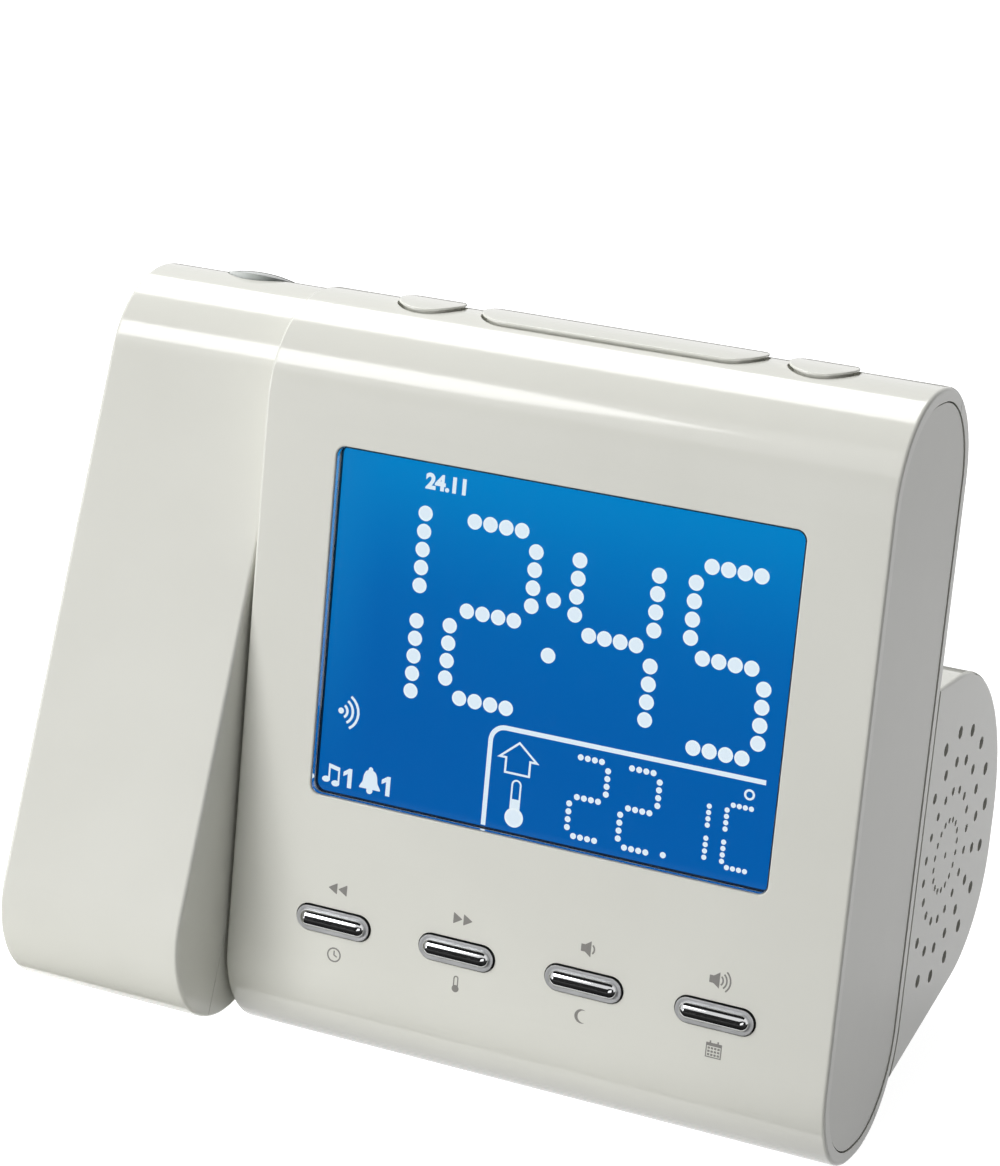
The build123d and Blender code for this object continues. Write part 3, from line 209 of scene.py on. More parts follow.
def mottled(name, darker, lighter, spot, rough=(0.3, 0.4), relief=0.0, grain=None, **numbers):
    """A finish whose colour drifts between two tones over spots of a size in mm, with a finer relief."""
    material, tree, shader, place = new_finish(name, **numbers)
    drift = add(tree, "ShaderNodeTexNoise", {"Vector": place, "Scale": 1.0 / (spot * MM), "Detail": 3.0})
    tone = add(tree, "ShaderNodeValToRGB", {"Fac": drift.outputs["Fac"]})
    set_stops(tone, ((DRIFT_LOW, darker), (DRIFT_HIGH, lighter)))
    tree.links.new(tone.outputs["Color"], shader.inputs["Base Color"])
    sheen = add(tree, "ShaderNodeMapRange",
                {"Value": drift.outputs["Fac"], "From Min": DRIFT_LOW, "From Max": DRIFT_HIGH,
                 "To Min": rough[0], "To Max": rough[1]})
    tree.links.new(sheen.outputs["Result"], shader.inputs["Roughness"])
    if relief:
        fine = add(tree, "ShaderNodeTexNoise",
                   {"Vector": place, "Scale": 1.0 / ((grain or spot) * MM), "Detail": 2.0})
        bump = add(tree, "ShaderNodeBump", {"Height": fine.outputs["Fac"], "Strength": 1.0,
                                            "Distance": relief * MM})
        tree.links.new(bump.outputs["Normal"], shader.inputs["Normal"])
    return material


print("signal red in linear light:", [round(v, 3) for v in light_of("#C1121C")[:3]])

# %% [markdown]
# ## The off-white shells
#
# The housings are injection-moulded ABS from a polished tool. ABS has an IOR of about 1.53 and, out of a
# mirror-finished mould, a roughness near 0.1, so lamps show as crisp white bands on its rounds. What keeps
# it from looking like paint is small: a hardly visible drift of tone where the melt flowed, and the faint
# waviness of the polish, a few microns high over some millimetres, which softens the edge of a reflection.
# The end panels and the battery door are a shade greyer and less polished, so their reflections blur.

# %% Glossy ABS
gloss_abs = mottled("abs_gloss_offwhite", "#E3E3DB", "#E6E6DE", spot=26.0, rough=(0.09, 0.12),
                    relief=0.006, grain=3.5, IOR=1.53)
panel_abs = mottled("abs_gloss_offwhite_panel", "#D9D9D1", "#DCDCD4", spot=22.0, rough=(0.2, 0.25),
                    relief=0.005, grain=2.5, IOR=1.53)
print("shell finishes:", gloss_abs.name, panel_abs.name)

# %% [markdown]
# ## The display
#
# The real display is a sandwich: an acrylic window, a black printed frame, a glass cell whose marks let
# light through and a blue backlight behind them. It could be drawn as one picture, but nothing here is
# painted as an image. The glass glows by itself with a colour worked out from height and side: a lighter
# cyan blue at the top and up along the left edge, and a deeper blue towards the middle and foot.

# %% Acrylic, black frame and glowing glass
acrylic, tree, shader, place = new_finish("acrylic_clear", Base_Color=light_of("#FFFFFF"), IOR=1.49,
                                          Transmission_Weight=1.0, Roughness=0.0)
wave = add(tree, "ShaderNodeTexNoise", {"Vector": place, "Scale": 1.0 / (9.0 * MM), "Detail": 1.0})
bump = add(tree, "ShaderNodeBump",
           {"Height": wave.outputs["Fac"], "Strength": 1.0, "Distance": 0.001 * MM})
tree.links.new(bump.outputs["Normal"], shader.inputs["Normal"])

frame_black = mottled("abs_black_printed", "#05060A", "#0A0C12", spot=5.0, rough=(0.35, 0.45),
                      relief=0.004, grain=0.6, IOR=1.53)

GLASS_HALF_HEIGHT = 0.029
EDGE_GLOW_FROM, EDGE_GLOW_TO, EDGE_GLOW = -0.040, -0.030, 0.75
BLUES = ((0.0, "#015BA9"), (0.3, "#005AA8"), (0.62, "#0063AF"), (0.82, "#0072BA"), (1.0, "#0082C6"))
backlit, tree, shader, place = new_finish("lcd_backlit_blue", Base_Color=light_of("#001020"), IOR=1.5,
                                          Roughness=0.3, Specular_IOR_Level=0.2)
bench_turn = add(tree, "ShaderNodeMapping", {"Vector": place}, vector_type="TEXTURE")
bench_turn.inputs["Location"].default_value = body_origin.tolist()
bench_turn.inputs["Rotation"].default_value = (-BODY_LEAN, 0.0, 0.0)
sides = add(tree, "ShaderNodeSeparateXYZ", {"Vector": bench_turn.outputs["Vector"]})
height = add(tree, "ShaderNodeMapRange",
             {"Value": sides.outputs["Z"], "From Min": -GLASS_HALF_HEIGHT, "From Max": GLASS_HALF_HEIGHT})
upward = add(tree, "ShaderNodeValToRGB", {"Fac": height.outputs["Result"]})
upward.color_ramp.interpolation = "B_SPLINE"
set_stops(upward, BLUES)
edge = add(tree, "ShaderNodeMapRange",
           {"Value": sides.outputs["X"], "From Min": EDGE_GLOW_FROM, "From Max": EDGE_GLOW_TO,
            "To Min": EDGE_GLOW, "To Max": 0.0}, interpolation_type="SMOOTHSTEP")
edge_high = add(tree, "ShaderNodeMath", {0: edge.outputs["Result"], 1: height.outputs["Result"]},
                operation="MULTIPLY")
glow = add(tree, "ShaderNodeMix", {"Factor": edge_high.outputs["Value"], "A": upward.outputs["Color"],
                                   "B": light_of("#0A7CC0")}, data_type="RGBA")
tree.links.new(glow.outputs["Result"], shader.inputs["Emission Color"])
shader.inputs["Emission Strength"].default_value = 1.08
print("display finishes ready:", backlit.name, "with", len(upward.color_ramp.elements), "stops")

# %% [markdown]
# ## Lit marks
#
# The digits are dots that the glass lets through white, with the backlight a little brighter around their
# rims. One finish serves every mark: it reads how far across the mark a point is, which each mark stores in
# its own UV map, and changes from a pale cool white inside to a lighter one at the rim. Where two marks
# overlap, one of them stands a few thousandths of a millimetre under or over the rest, so that no two faces
# share a plane.

# %% White of the lit marks
lit_white, tree, shader, place = new_finish("lcd_lit_marks", Base_Color=light_of("#0A0A0A"), Roughness=0.5,
                                            Specular_IOR_Level=0.0)
across = add(tree, "ShaderNodeUVMap", uv_map="across")
split = add(tree, "ShaderNodeSeparateXYZ", {"Vector": across.outputs["UV"]})
rim = add(tree, "ShaderNodeValToRGB", {"Fac": split.outputs["X"]})
set_stops(rim, ((0.66, "#E0EFFA"), (0.86, "#EAF6FD")))
tree.links.new(rim.outputs["Color"], shader.inputs["Emission Color"])
shader.inputs["Emission Strength"].default_value = 1.04

MARK_FRONT, GLASS_FRONT, LAYER_STEP = 2.77, 2.8, 0.004
MARK = (MARK_FRONT, GLASS_FRONT)
MARK_UNDER, MARK_OVER = (MARK_FRONT + LAYER_STEP, GLASS_FRONT), (MARK_FRONT - LAYER_STEP, GLASS_FRONT)
print("marks stand", round(GLASS_FRONT - MARK_FRONT, 3), "mm proud of the glass")

# %% [markdown]
# ## Dots and strokes
#
# A dot is a disc from two parameters, the angle and the distance from its centre, and the same small grid is
# repeated for every centre in one array. A stroke is a flat band carried along a path: each point is
# pushed out to both sides along the bisector of its corner, by the half width divided by the cosine of
# half the corner's turn, so the band keeps its width around corners.

# %% Discs on a face


def discs(centres, radius, front, back, sides=20):
    """Discs on the bench: point = centre + share * radius * (cos a, sin a), with their foot at the back."""
    centres = np.asarray(centres, float).reshape(-1, 2)
    share = np.array([0.0, 0.55, 0.8, 1.0, 1.0])
    depth = np.array([front, front, front, front, back])
    angle = np.linspace(0.0, 2 * np.pi, sides, endpoint=False)
    ring = np.stack([np.cos(angle), np.sin(angle)], axis=-1)
    flat = centres[:, None, None] + radius * share[:, None, None] * ring
    deep = np.broadcast_to(depth[None, :, None, None], flat.shape[:3] + (1,))
    points = np.concatenate([flat[..., :1], deep, flat[..., 1:]], axis=-1).reshape(-1, 3)
    one = grid_faces(len(share), sides, around=True)
    faces = (np.arange(len(centres))[:, None, None] * len(share) * sides + one).reshape(-1, 4)
    value = np.broadcast_to(share[None, :, None], flat.shape[:3]).reshape(-1)
    return points, faces, value


SHARPEST = 0.35


def stroke(path, width, front, back, closed=False):
    """Band along a path: path + share * width / 2 along each corner's bisector, divided by its cosine."""
    path = np.asarray(path, float)
    ahead = np.roll(path, -1, axis=0) - path
    behind = path - np.roll(path, 1, axis=0)
    if not closed:
        ahead[-1], behind[0] = behind[-1], ahead[0]
    ahead = ahead / np.linalg.norm(ahead, axis=1)[:, None]
    behind = behind / np.linalg.norm(behind, axis=1)[:, None]
    normal = np.stack([-(ahead + behind)[:, 1], (ahead + behind)[:, 0]], axis=-1)
    normal /= np.linalg.norm(normal, axis=1)[:, None]
    square = np.stack([-ahead[:, 1], ahead[:, 0]], axis=-1)
    cosine = np.clip(np.abs((normal * square).sum(axis=1)), SHARPEST, 1.0)
    share = np.array([-1.0, -1.0, -0.6, 0.6, 1.0, 1.0])
    depth = np.array([back, front, front, front, front, back])
    flat = path[:, None] + share[None, :, None] * (width / 2) * (normal / cosine[:, None])[:, None]
    deep = np.broadcast_to(depth[None, :, None], flat.shape[:2] + (1,))
    points = np.concatenate([flat[..., :1], deep, flat[..., 1:]], axis=-1).reshape(-1, 3)
    rows = len(path)
    faces = grid_faces(rows + 1 if closed else rows, len(share)) % (rows * len(share))
    value = np.broadcast_to(np.abs(share), (rows, len(share))).reshape(-1)
    return points, faces, value


def arc(centre, radius, start, end, steps=10):
    """Points on a circle from one angle to another, in degrees, counted from the right."""
    angle = np.radians(np.linspace(start, end, steps))
    return np.stack([centre[0] + radius * np.cos(angle), centre[1] + radius * np.sin(angle)], axis=-1)


def joined(*shapes):
    """Several shapes as one: each shape's faces are counted on from the points before."""
    start = np.cumsum([0] + [len(shape[0]) for shape in shapes])
    points = np.concatenate([shape[0] for shape in shapes])
    faces = [list(np.asarray(face) + first) for shape, first in zip(shapes, start) for face in shape[1]]
    return points, faces, np.concatenate([shape[2] for shape in shapes])


print("a dot has", len(discs([(0, 0)], 1.0, 0.0, 1.0)[1]), "faces")

# %% [markdown]
# ## Filled outlines
#
# Arrows, a bell or a note head are outlines filled with one flat face and given a thin edge. Blender accepts
# a face with any number of corners, even one with hollows in its outline, so no triangles are worked out by
# hand.

# %% Plates from an outline


def plate(outline, front, back):
    """An outline as one face in front, the same turned over at the back, and a band of sides between."""
    outline = np.asarray(outline, float)
    count = len(outline)
    layer = [np.insert(outline, 1, depth, axis=1) for depth in (front, back)]
    index = np.arange(count)
    side = np.stack([index, (index + 1) % count, (index + 1) % count + count, index + count], axis=-1)
    faces = [index.tolist(), (index[::-1] + count).tolist(), *side.tolist()]
    return np.concatenate(layer), faces, np.zeros(2 * count)


def rectangle(left, low, right, high):
    """The four corners of an upright rectangle, from its lower left one on."""
    return [(left, low), (right, low), (right, high), (left, high)]


def softened(corners, radius, steps=5):
    """The outline with each corner replaced by a curve from radius before it to radius after it."""
    corners = np.asarray(corners, float)
    before = np.roll(corners, 1, axis=0) - corners
    after = np.roll(corners, -1, axis=0) - corners
    start = corners + before / np.linalg.norm(before, axis=1)[:, None] * radius
    end = corners + after / np.linalg.norm(after, axis=1)[:, None] * radius
    t = np.linspace(0.0, 1.0, steps)[None, :, None]
    curve = (1 - t) ** 2 * start[:, None] + 2 * t * (1 - t) * corners[:, None] + t ** 2 * end[:, None]
    return curve.reshape(-1, 2)


def edge_use(faces):
    """How many faces use each edge, whichever way round they name it."""
    use = {}
    for face in faces:
        for a, b in zip(face, face[1:] + face[:1]):
            key = (min(a, b), max(a, b))
            use[key] = use.get(key, 0) + 1
    return use


def numeral(text, centre, height, heavy, front, back):
    """Plain numerals of Blender's own typeface as a mesh, with its height scaled to the wanted one."""
    curve = bpy.data.curves.new("numeral", "FONT")
    curve.body, curve.offset, curve.resolution_u = text, heavy, 4
    holder = bpy.data.objects.new("numeral", curve)
    bpy.context.scene.collection.objects.link(holder)
    mesh = bpy.data.meshes.new_from_object(holder.evaluated_get(bpy.context.evaluated_depsgraph_get()))
    flat = np.zeros(len(mesh.vertices) * 3)
    mesh.vertices.foreach_get("co", flat)
    flat = flat.reshape(-1, 3)[:, :2]
    faces = [list(polygon.vertices) for polygon in mesh.polygons]
    rim_edges = [edge for edge, times in edge_use(faces).items() if times == 1]
    bpy.data.objects.remove(holder)
    bpy.data.curves.remove(curve)
    bpy.data.meshes.remove(mesh)
    low, high = flat.min(axis=0), flat.max(axis=0)
    flat = (flat - (low + high) / 2) * (height / (high[1] - low[1])) + np.asarray(centre)
    count = len(flat)
    both = np.concatenate([np.insert(flat, 1, front, axis=1), np.insert(flat, 1, back, axis=1)])
    turned = [[corner + count for corner in face[::-1]] for face in faces]
    side = [[a, b, b + count, a + count] for a, b in rim_edges]
    return both, faces + turned + side, np.zeros(2 * count)


print("a softened triangle has", len(softened([(0, 0), (2, 0), (1, 2)], 0.2)), "corners")

# %% [markdown]
# ## The time in dots
#
# Each digit is the usual seven segments of four dots each. A table names the segments of a digit, from
# a at the top clockwise to f and g across the middle, and a function places their dots from a digit's left
# and right side and its seven levels, so the large time and the small temperature share one rule. Only the
# first 1 of the time is on its own, with five dots in each of its two strokes.

# %% Digits of the display
SEGMENTS = {"1": "bc", "2": "abged", "4": "fgbc", "5": "afgcd", "C": "aefd"}


def digit(sign, left, right, inset, levels, count=4):
    """Dots of a digit: count dots along each lit segment, horizontals inset from the sides."""
    top, upper_high, upper_low, middle, lower_high, lower_low, bottom = levels
    across = np.linspace(left + inset, right - inset, count)
    upper, lower = np.linspace(upper_high, upper_low, count), np.linspace(lower_high, lower_low, count)
    lines = {"a": (across, top), "g": (across, middle), "d": (across, bottom), "b": (right, upper),
             "f": (left, upper), "c": (right, lower), "e": (left, lower)}
    return np.concatenate([np.stack(np.broadcast_arrays(*lines[segment]), axis=-1)
                           for segment in SEGMENTS[sign]])


BIG_DOT, SMALL_DOT, TINY_DOT = 1.25, 0.5, 0.42
BIG_LEVELS = (20.35, 17.4, 8.6, 5.7, 2.8, -5.9, -8.75)
big_one = [(-24.5, z) for high, low in ((20.2, 8.35), (2.5, -9.2)) for z in np.linspace(high, low, 5)]
colon = [(-1.15, 10.2), (-1.2, 1.2)]
time_dots = np.concatenate([big_one, digit("2", -18.6, -4.85, 2.75, BIG_LEVELS), colon,
                            digit("4", 2.65, 16.1, 2.7, BIG_LEVELS),
                            digit("5", 22.25, 35.03, 2.3, BIG_LEVELS)])
make_piece("display_time", discs(time_dots, BIG_DOT, *MARK, 28), lit_white, "main", smooth=False)

SMALL_LEVELS = (-14.1, -15.4, -19.25, -20.7, -22.0, -25.95, -27.2)
warmth_dots = np.concatenate([digit("2", 4.82, 10.87, 1.2, SMALL_LEVELS),
                              digit("2", 13.63, 19.69, 1.2, SMALL_LEVELS), [(21.45, -27.0)]])
TINY_LEVELS = (-16.47, -17.45, -20.55, -21.6, -22.7, -25.85, -26.68)
tiny_dots = np.concatenate([digit("1", 24.0, 28.27, 1.0, TINY_LEVELS),
                            digit("C", 31.25, 36.1, 0.92, TINY_LEVELS)])
degree_ring = stroke(arc((34.62, -14.25), 0.72, 0, 342, 20), 0.35, *MARK, closed=True)
warmth = joined(discs(warmth_dots, SMALL_DOT, *MARK), discs(tiny_dots, TINY_DOT, *MARK), degree_ring)
make_piece("display_warmth", warmth, lit_white, "main", smooth=False)
print("dots in the time:", len(time_dots), "in the temperature:", len(warmth_dots) + len(tiny_dots))

# %% [markdown]
# ## Signs beside the digits
#
# Around the time the glass has a divider with a rounded corner, a small house and a thermometer for the
# indoor temperature, a date numeral, waves for the radio, and a note and a bell with the number of their
# alarm, all on the same thin layer as the dots.

# %% Divider, house and thermometer
divider = stroke([(-9.7, -28.7), *arc((-7.2, -14.45), 2.5, 180, 90), (37.1, -11.8)], 0.78, *MARK)
house = stroke([(-4.6, -13.95), (-1.35, -16.7), (-2.5, -16.7), (-2.5, -19.15), (-6.72, -19.15),
                (-6.72, -16.7), (-7.85, -16.7)], 0.34, *MARK, closed=True)
tube = stroke([(-5.24, -25.0), *arc((-4.5, -20.95), 0.74, 180, 0, 12), (-3.76, -25.0)], 0.28, *MARK)
column = plate(rectangle(-5.3, -25.5, -3.7, -23.35), *MARK_UNDER)
bulb = discs([(-4.47, -26.4)], 1.62, *MARK_OVER, 32)
signs = joined(divider, house, tube, column, bulb)
make_piece("display_signs", signs, lit_white, "main", smooth=False)
print("signs beside the temperature:", len(signs[1]), "faces")

# %% Date, waves, note and bell
ANTENNA, BELL = (-36.6, -14.95), (-30.35, -25.75)


def note_head(x, z, long=0.72, short=0.5, slant=0.12):
    """A slanting ellipse: long times the cosine, short times the sine, and slant times the other one."""
    return plate([(x + long * math.cos(a) - slant * math.sin(a),
                   z + short * math.sin(a) + slant * math.cos(a))
                  for a in np.linspace(0, 2 * np.pi, 16, endpoint=False)], *MARK)


def one(left, foot):
    """A plain 1 with a flag and no foot, 3.3 mm high, as a plate."""
    outline = [(0.95, 0.0), (1.7, 0.0), (1.7, 3.3), (1.15, 3.3), (0.15, 2.6), (0.15, 1.85), (0.95, 2.35)]
    return plate([(left + x, foot + z) for x, z in outline], *MARK)


date = numeral("24.11", (-21.4, 25.55), 2.7, 0.045, *MARK)
waves = [stroke(arc(ANTENNA, radius, -58, 58, 9), 0.42, *MARK) for radius in (1.15, 2.15, 3.15)]
waves.append(discs([ANTENNA], 0.5, *MARK))
heads = [note_head(-38.35, -26.95), note_head(-36.6, -27.4)]
stems = [stroke([(x, low), (x, high)], 0.3, *MARK_UNDER)
         for x, low, high in ((-37.82, -26.9, -24.5), (-36.07, -27.35, -24.9))]
beam = plate([(-37.97, -24.2), (-35.92, -24.6), (-35.92, -25.3), (-37.97, -24.9)], *MARK_OVER)
bell_side = [(0.35, 1.9), (0.9, 1.6), (1.2, 0.9), (1.35, -0.2), (1.9, -1.1), (1.9, -1.35)]
bell_outline = np.array(bell_side + [(-x, z) for x, z in bell_side[::-1]]) + BELL
bell = [plate(softened(bell_outline, 0.1, 3), *MARK), discs([(BELL[0], -27.35)], 0.55, *MARK_UNDER),
        discs([(BELL[0], -23.75)], 0.4, *MARK_UNDER)]
ones = [one(-35.4, -27.7), one(-28.4, -27.6)]
alarms = joined(date, *waves, *heads, *stems, beam, *bell, *ones)
make_piece("display_alarm_signs", alarms, lit_white, "main", smooth=False)
print("date, waves and alarm signs:", len(alarms[1]), "faces")

# %% [markdown]
# ## Printed signs on the front
#
# Over and under the keys small signs are pad-printed in grey ink, a few hundredths of a millimetre thick. A
# printed layer could be part of the shell's colour, but as its own thin piece it keeps crisp edges at any
# distance. The ink is matt and a little uneven, so the softboxes hardly show in it.

# %% Grey printing ink
INK_FRONT, INK_BACK = -0.025, 0.0
INK = (INK_FRONT, INK_BACK)
INK_UNDER, INK_OVER = (INK_FRONT + LAYER_STEP, INK_BACK), (INK_FRONT - LAYER_STEP, INK_BACK)
ink = mottled("pad_print_ink_grey", "#868480", "#8C8A86", spot=0.6, rough=(0.5, 0.6), IOR=1.48)


def arrows(centre, way):
    """Two triangles one after the other, pointing left (way -1) or right (way 1)."""
    x, z = centre
    tips = (x + 1.78 * way, x - 0.02 * way)
    return [plate(softened([(tip, z), (tip - 1.62 * way, z + 0.98), (tip - 1.62 * way, z - 0.98)], 0.16, 4),
                  *INK) for tip in tips]


def horn(centre, waves):
    """A loudspeaker's horn with sound waves: a block and a flare, then arcs with growing radius."""
    x, z = centre
    flare = [(x - 1.0, z - 0.62), (x - 0.3, z - 0.62), (x + 0.72, z - 1.36), (x + 0.72, z + 1.36),
             (x - 0.3, z + 0.62), (x - 1.0, z + 0.62)]
    rings = [stroke(arc((x + 0.35, z), 0.95 + 0.62 * index, -48, 48, 9), 0.27, *INK)
             for index in range(waves)]
    return [plate(softened(flare, 0.08, 3), *INK)] + rings


def calendar(centre, half_width=1.25, foot=1.3, top=1.0, pitch=0.55):
    """A leaf of a wall calendar: an outline, a header, two rings and a grid of day squares."""
    x, z = centre
    left, right = x - half_width, x + half_width
    sheet = stroke(rectangle(left, z - foot, right, z + top), 0.17, *INK, closed=True)
    header = plate(rectangle(left, z + 0.55, right, z + top), *INK_UNDER)
    hooks = [stroke([(x + side * 0.65, z + 0.85), (x + side * 0.65, z + 1.45)], 0.24, *INK_OVER)
             for side in (-1, 1)]
    days = [plate(rectangle(x + column * pitch - 0.19, z + row - 0.17, x + column * pitch + 0.19,
                            z + row + 0.17), *INK)
            for column in (-1.5, -0.5, 0.5, 1.5) for row in (0.2, -0.35, -0.9)]
    return [sheet, header] + hooks + days


print("ink layer:", INK_BACK - INK_FRONT, "mm")

# %% Signs above and below the keys
over_keys = [*arrows((-33.4, -44.35), -1), *arrows((-10.7, -44.45), 1), *horn((11.2, -44.25), 1),
             *horn((33.2, -44.3), 3)]
CLOCK, MOON = (-33.2, -55.75), (11.4, -55.75)
clock_face = [stroke(arc(CLOCK, 1.15, 0, 342, 20), 0.24, *INK, closed=True),
              stroke([(-33.2, -55.0), CLOCK, (-32.65, -56.05)], 0.22, *INK)]
scale_sign = [stroke([(-11.3, -55.9), *arc((-10.95, -54.6), 0.35, 180, 0, 8), (-10.6, -55.9)], 0.2, *INK),
              discs([(-10.95, -56.35)], 0.62, *INK, 24)]
moon_outline = [arc(MOON, 1.2, 60, 300, 22), arc((11.8, -55.75), 1.058, 280.9, 79.1, 18)]
moon = [plate(np.concatenate(moon_outline), *INK)]
printed = joined(*over_keys, *clock_face, *scale_sign, *moon, *calendar((34.15, -55.85)))
make_piece("printed_key_signs", printed, ink, "main", smooth=False)
print("printed signs:", len(printed[1]), "faces")

# %% [markdown]
# ## Chrome keys
#
# The four keys are black ABS with a face plated in chrome: a satin rim with a bright rounded bar along its
# middle. A key is one profile carried around a stadium, the outline of a straight bar with half-round ends.
# Chrome has no colour of its own, so the look is all in how the bar's surface tilts, and its profile is
# worked out from that: a list says how far from the crest each tilt is reached, and the height falls by the
# tangent of the tilt on the way. The rim is dished a little towards the bar's foot, and its lip is rounded.
# The unplated side wall is coloured plain black, which also serves as painted shade in the gap, so a black
# crescent shows beside each key.

# %% Chrome plate and the key's surface
chrome = mottled("chrome_plate_bright", "#D2D3D4", "#D8D9DA", spot=6.0, rough=(0.03, 0.04), Metallic=1.0)
satin_chrome = mottled("chrome_plate_satin", "#D2D3D4", "#DADBDC", spot=3.0, rough=(0.42, 0.48),
                       Metallic=1.0)
# the skirt's black is unplated ABS and also painted shade: it stands in for the dark gap around each key
key_skirt_black_painted_shade = mottled("abs_black_unplated_painted_shade", "#0A0A0A", "#0F0F0F", spot=2.0, rough=(0.45, 0.55), IOR=1.53)


def pill(half_length, radii, depths, steps=14):
    """Profile around a stadium: point = end centre + radius * (cos a, sin a), depth from the profile."""
    turn = np.linspace(-np.pi / 2, np.pi / 2, steps)
    angle = np.concatenate([turn, turn + np.pi])
    end = np.concatenate([np.full(steps, half_length), np.full(steps, -half_length)])
    radii, depths = np.asarray(radii)[:, None], np.asarray(depths)[:, None]
    x = end + radii * np.cos(angle)
    z = radii * np.sin(angle)
    points = np.stack([x, np.broadcast_to(depths, x.shape), z], axis=-1).reshape(-1, 3)
    return points, grid_faces(len(radii), len(angle), around=True)


KEY_HALF_LENGTH, KEY_RADIUS, RIM_RISE, BAR_RISE, LIP_ROUND = 4.55, 2.1, 0.45, 1.2, 0.05
BAR_RADIUS, RIM_DISH = 1.45, 0.15
tilt = np.radians(np.concatenate([np.linspace(0.0, 48.0, 17), np.linspace(50.0, 80.0, 8)]))
bar_radius = np.interp(np.degrees(tilt), [0.0, 26.0, 34.0, 52.0, 80.0], [0.0, 0.4, 0.86, 1.27, 1.44])
fall = np.tan((tilt[1:] + tilt[:-1]) / 2) * np.diff(bar_radius)
bar_rise = RIM_RISE + BAR_RISE - np.concatenate([[0.0], np.cumsum(fall)])
bar_radius, bar_rise = np.append(bar_radius, BAR_RADIUS), np.append(bar_rise, RIM_RISE - RIM_DISH)
over_lip = np.radians(np.linspace(90.0, 0.0, 4))
lip_radius = KEY_RADIUS - LIP_ROUND + LIP_ROUND * np.cos(over_lip)
lip_rise = RIM_RISE - LIP_ROUND + LIP_ROUND * np.sin(over_lip)
skirt_radius, skirt_rise = [2.08, 2.08, 3.3, 3.3, 1.5, 0.0], [0.36, -2.5, -2.5, -3.7, -3.7, -3.7]
profile_radius = np.concatenate([bar_radius, lip_radius, skirt_radius])
profile_rise = np.concatenate([bar_rise, lip_rise, skirt_rise])
bar_rows, rim_rows, all_rows = len(bar_radius) - 1, len(lip_radius), len(profile_radius) - 1
KEY_ROW, KEY_PITCH, KEY_COUNT = -50.2, 22.5, 4
for index in range(KEY_COUNT):
    name = f"front_key_{index + 1}"
    points, faces = pill(KEY_HALF_LENGTH, profile_radius, -profile_rise)
    points[:, 0] += KEY_PITCH * (index - (KEY_COUNT - 1) / 2)
    points[:, 2] += KEY_ROW
    row = np.repeat(np.arange(all_rows), len(faces) // all_rows)
    part = np.where(row < bar_rows, 0, np.where(row < bar_rows + rim_rows, 1, 2))
    key = make_piece(f"chrome_key_{index + 1}", (points, faces), (chrome, satin_chrome, key_skirt_black_painted_shade), name,
                     part=part)
    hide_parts(name)
    low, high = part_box(name)
    print(key.name, "solid centre", round((low.x + high.x) / 2 - body_origin[0], 5), "top", round(high.z, 5))

# %% [markdown]
# ## Top buttons
#
# Three low plates stand 0.7 mm out of the rounded top and follow its curve. Their edges are crisp, and the
# neck below is drawn in, so that a thin line of shade runs under each plate. They are the keys' surface
# again, a profile around a stadium, with one more rule: every point of the plate drops with the round of the
# body, by radius minus the root of radius squared less the distance squared. The flange inside stays flat.

# %% Plates that follow the round
BODY_TOP, BODY_MIDDLE, BODY_ROUND, FLAT_HALF = 50.7, 18.1, 17.1, 1.0
BUTTON_PROUD, BUTTON_RADIUS, BUTTON_EDGE, NECK_RADIUS, PLATE_STEPS = 0.7, 5.5, 0.12, 4.8, 8
ALARM_OUT, SNOOZE_HALF, FLANGE_BELOW = 33.7, 18.75, -3.0
over_edge = np.radians(np.linspace(90.0, 0.0, 4))
edge_radius = BUTTON_RADIUS - BUTTON_EDGE + BUTTON_EDGE * np.cos(over_edge)
edge_rise = BUTTON_PROUD - BUTTON_EDGE + BUTTON_EDGE * np.sin(over_edge)
plate_radius = [np.linspace(0.0, BUTTON_RADIUS - 0.4, PLATE_STEPS), edge_radius,
                [BUTTON_RADIUS, NECK_RADIUS, NECK_RADIUS]]
plate_rise = [np.full(PLATE_STEPS, BUTTON_PROUD), edge_rise, [0.38, 0.34, -2.3]]
flange_radius, flange_rise = [6.7, 6.7, 1.5, 1.5, 0.0], [-3.1, -5.1, -5.1, -6.6, -6.6]
lifted_round = BODY_ROUND + BUTTON_PROUD
for name, centre, half_length in (("alarm_button_left", -ALARM_OUT, 0.0),
                                  ("snooze_button", 0.0, SNOOZE_HALF),
                                  ("alarm_button_right", ALARM_OUT, 0.0)):
    points, faces = pill(half_length, np.concatenate([*plate_radius, flange_radius]),
                         np.concatenate([*plate_rise, flange_rise]), steps=28)
    across, rise = points[:, 2].copy(), points[:, 1].copy()
    beside = np.maximum(np.abs(across) - FLAT_HALF, 0.0)
    drop = lifted_round - np.sqrt(lifted_round ** 2 - beside ** 2)
    points[:, 0] += centre
    points[:, 1] = BODY_MIDDLE + across
    points[:, 2] = BODY_TOP + rise - np.where(rise > FLANGE_BELOW, drop, 0.0)
    cap = make_piece(f"cap_{name}", (points, faces), gloss_abs, name)
    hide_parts(name)
    low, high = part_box(name)
    print(cap.name, "solid centre", round((low.x + high.x) / 2 - body_origin[0], 5), "top", round(high.z, 5))

# %% [markdown]
# ## Finishes of everything else
#
# What is left are small parts in the finishes of any electronic product. Each is one call here: two tones
# that drift over spots of a known size, a range of roughness and a relief in millimetres. Moulded rubber,
# foam and pulp paper scatter light so widely that they show no highlight. Zinc plate and tinplate are
# mirrors with a blur, painted steel and satin ABS keep a soft one, and sintered ferrite looks dull and dark.

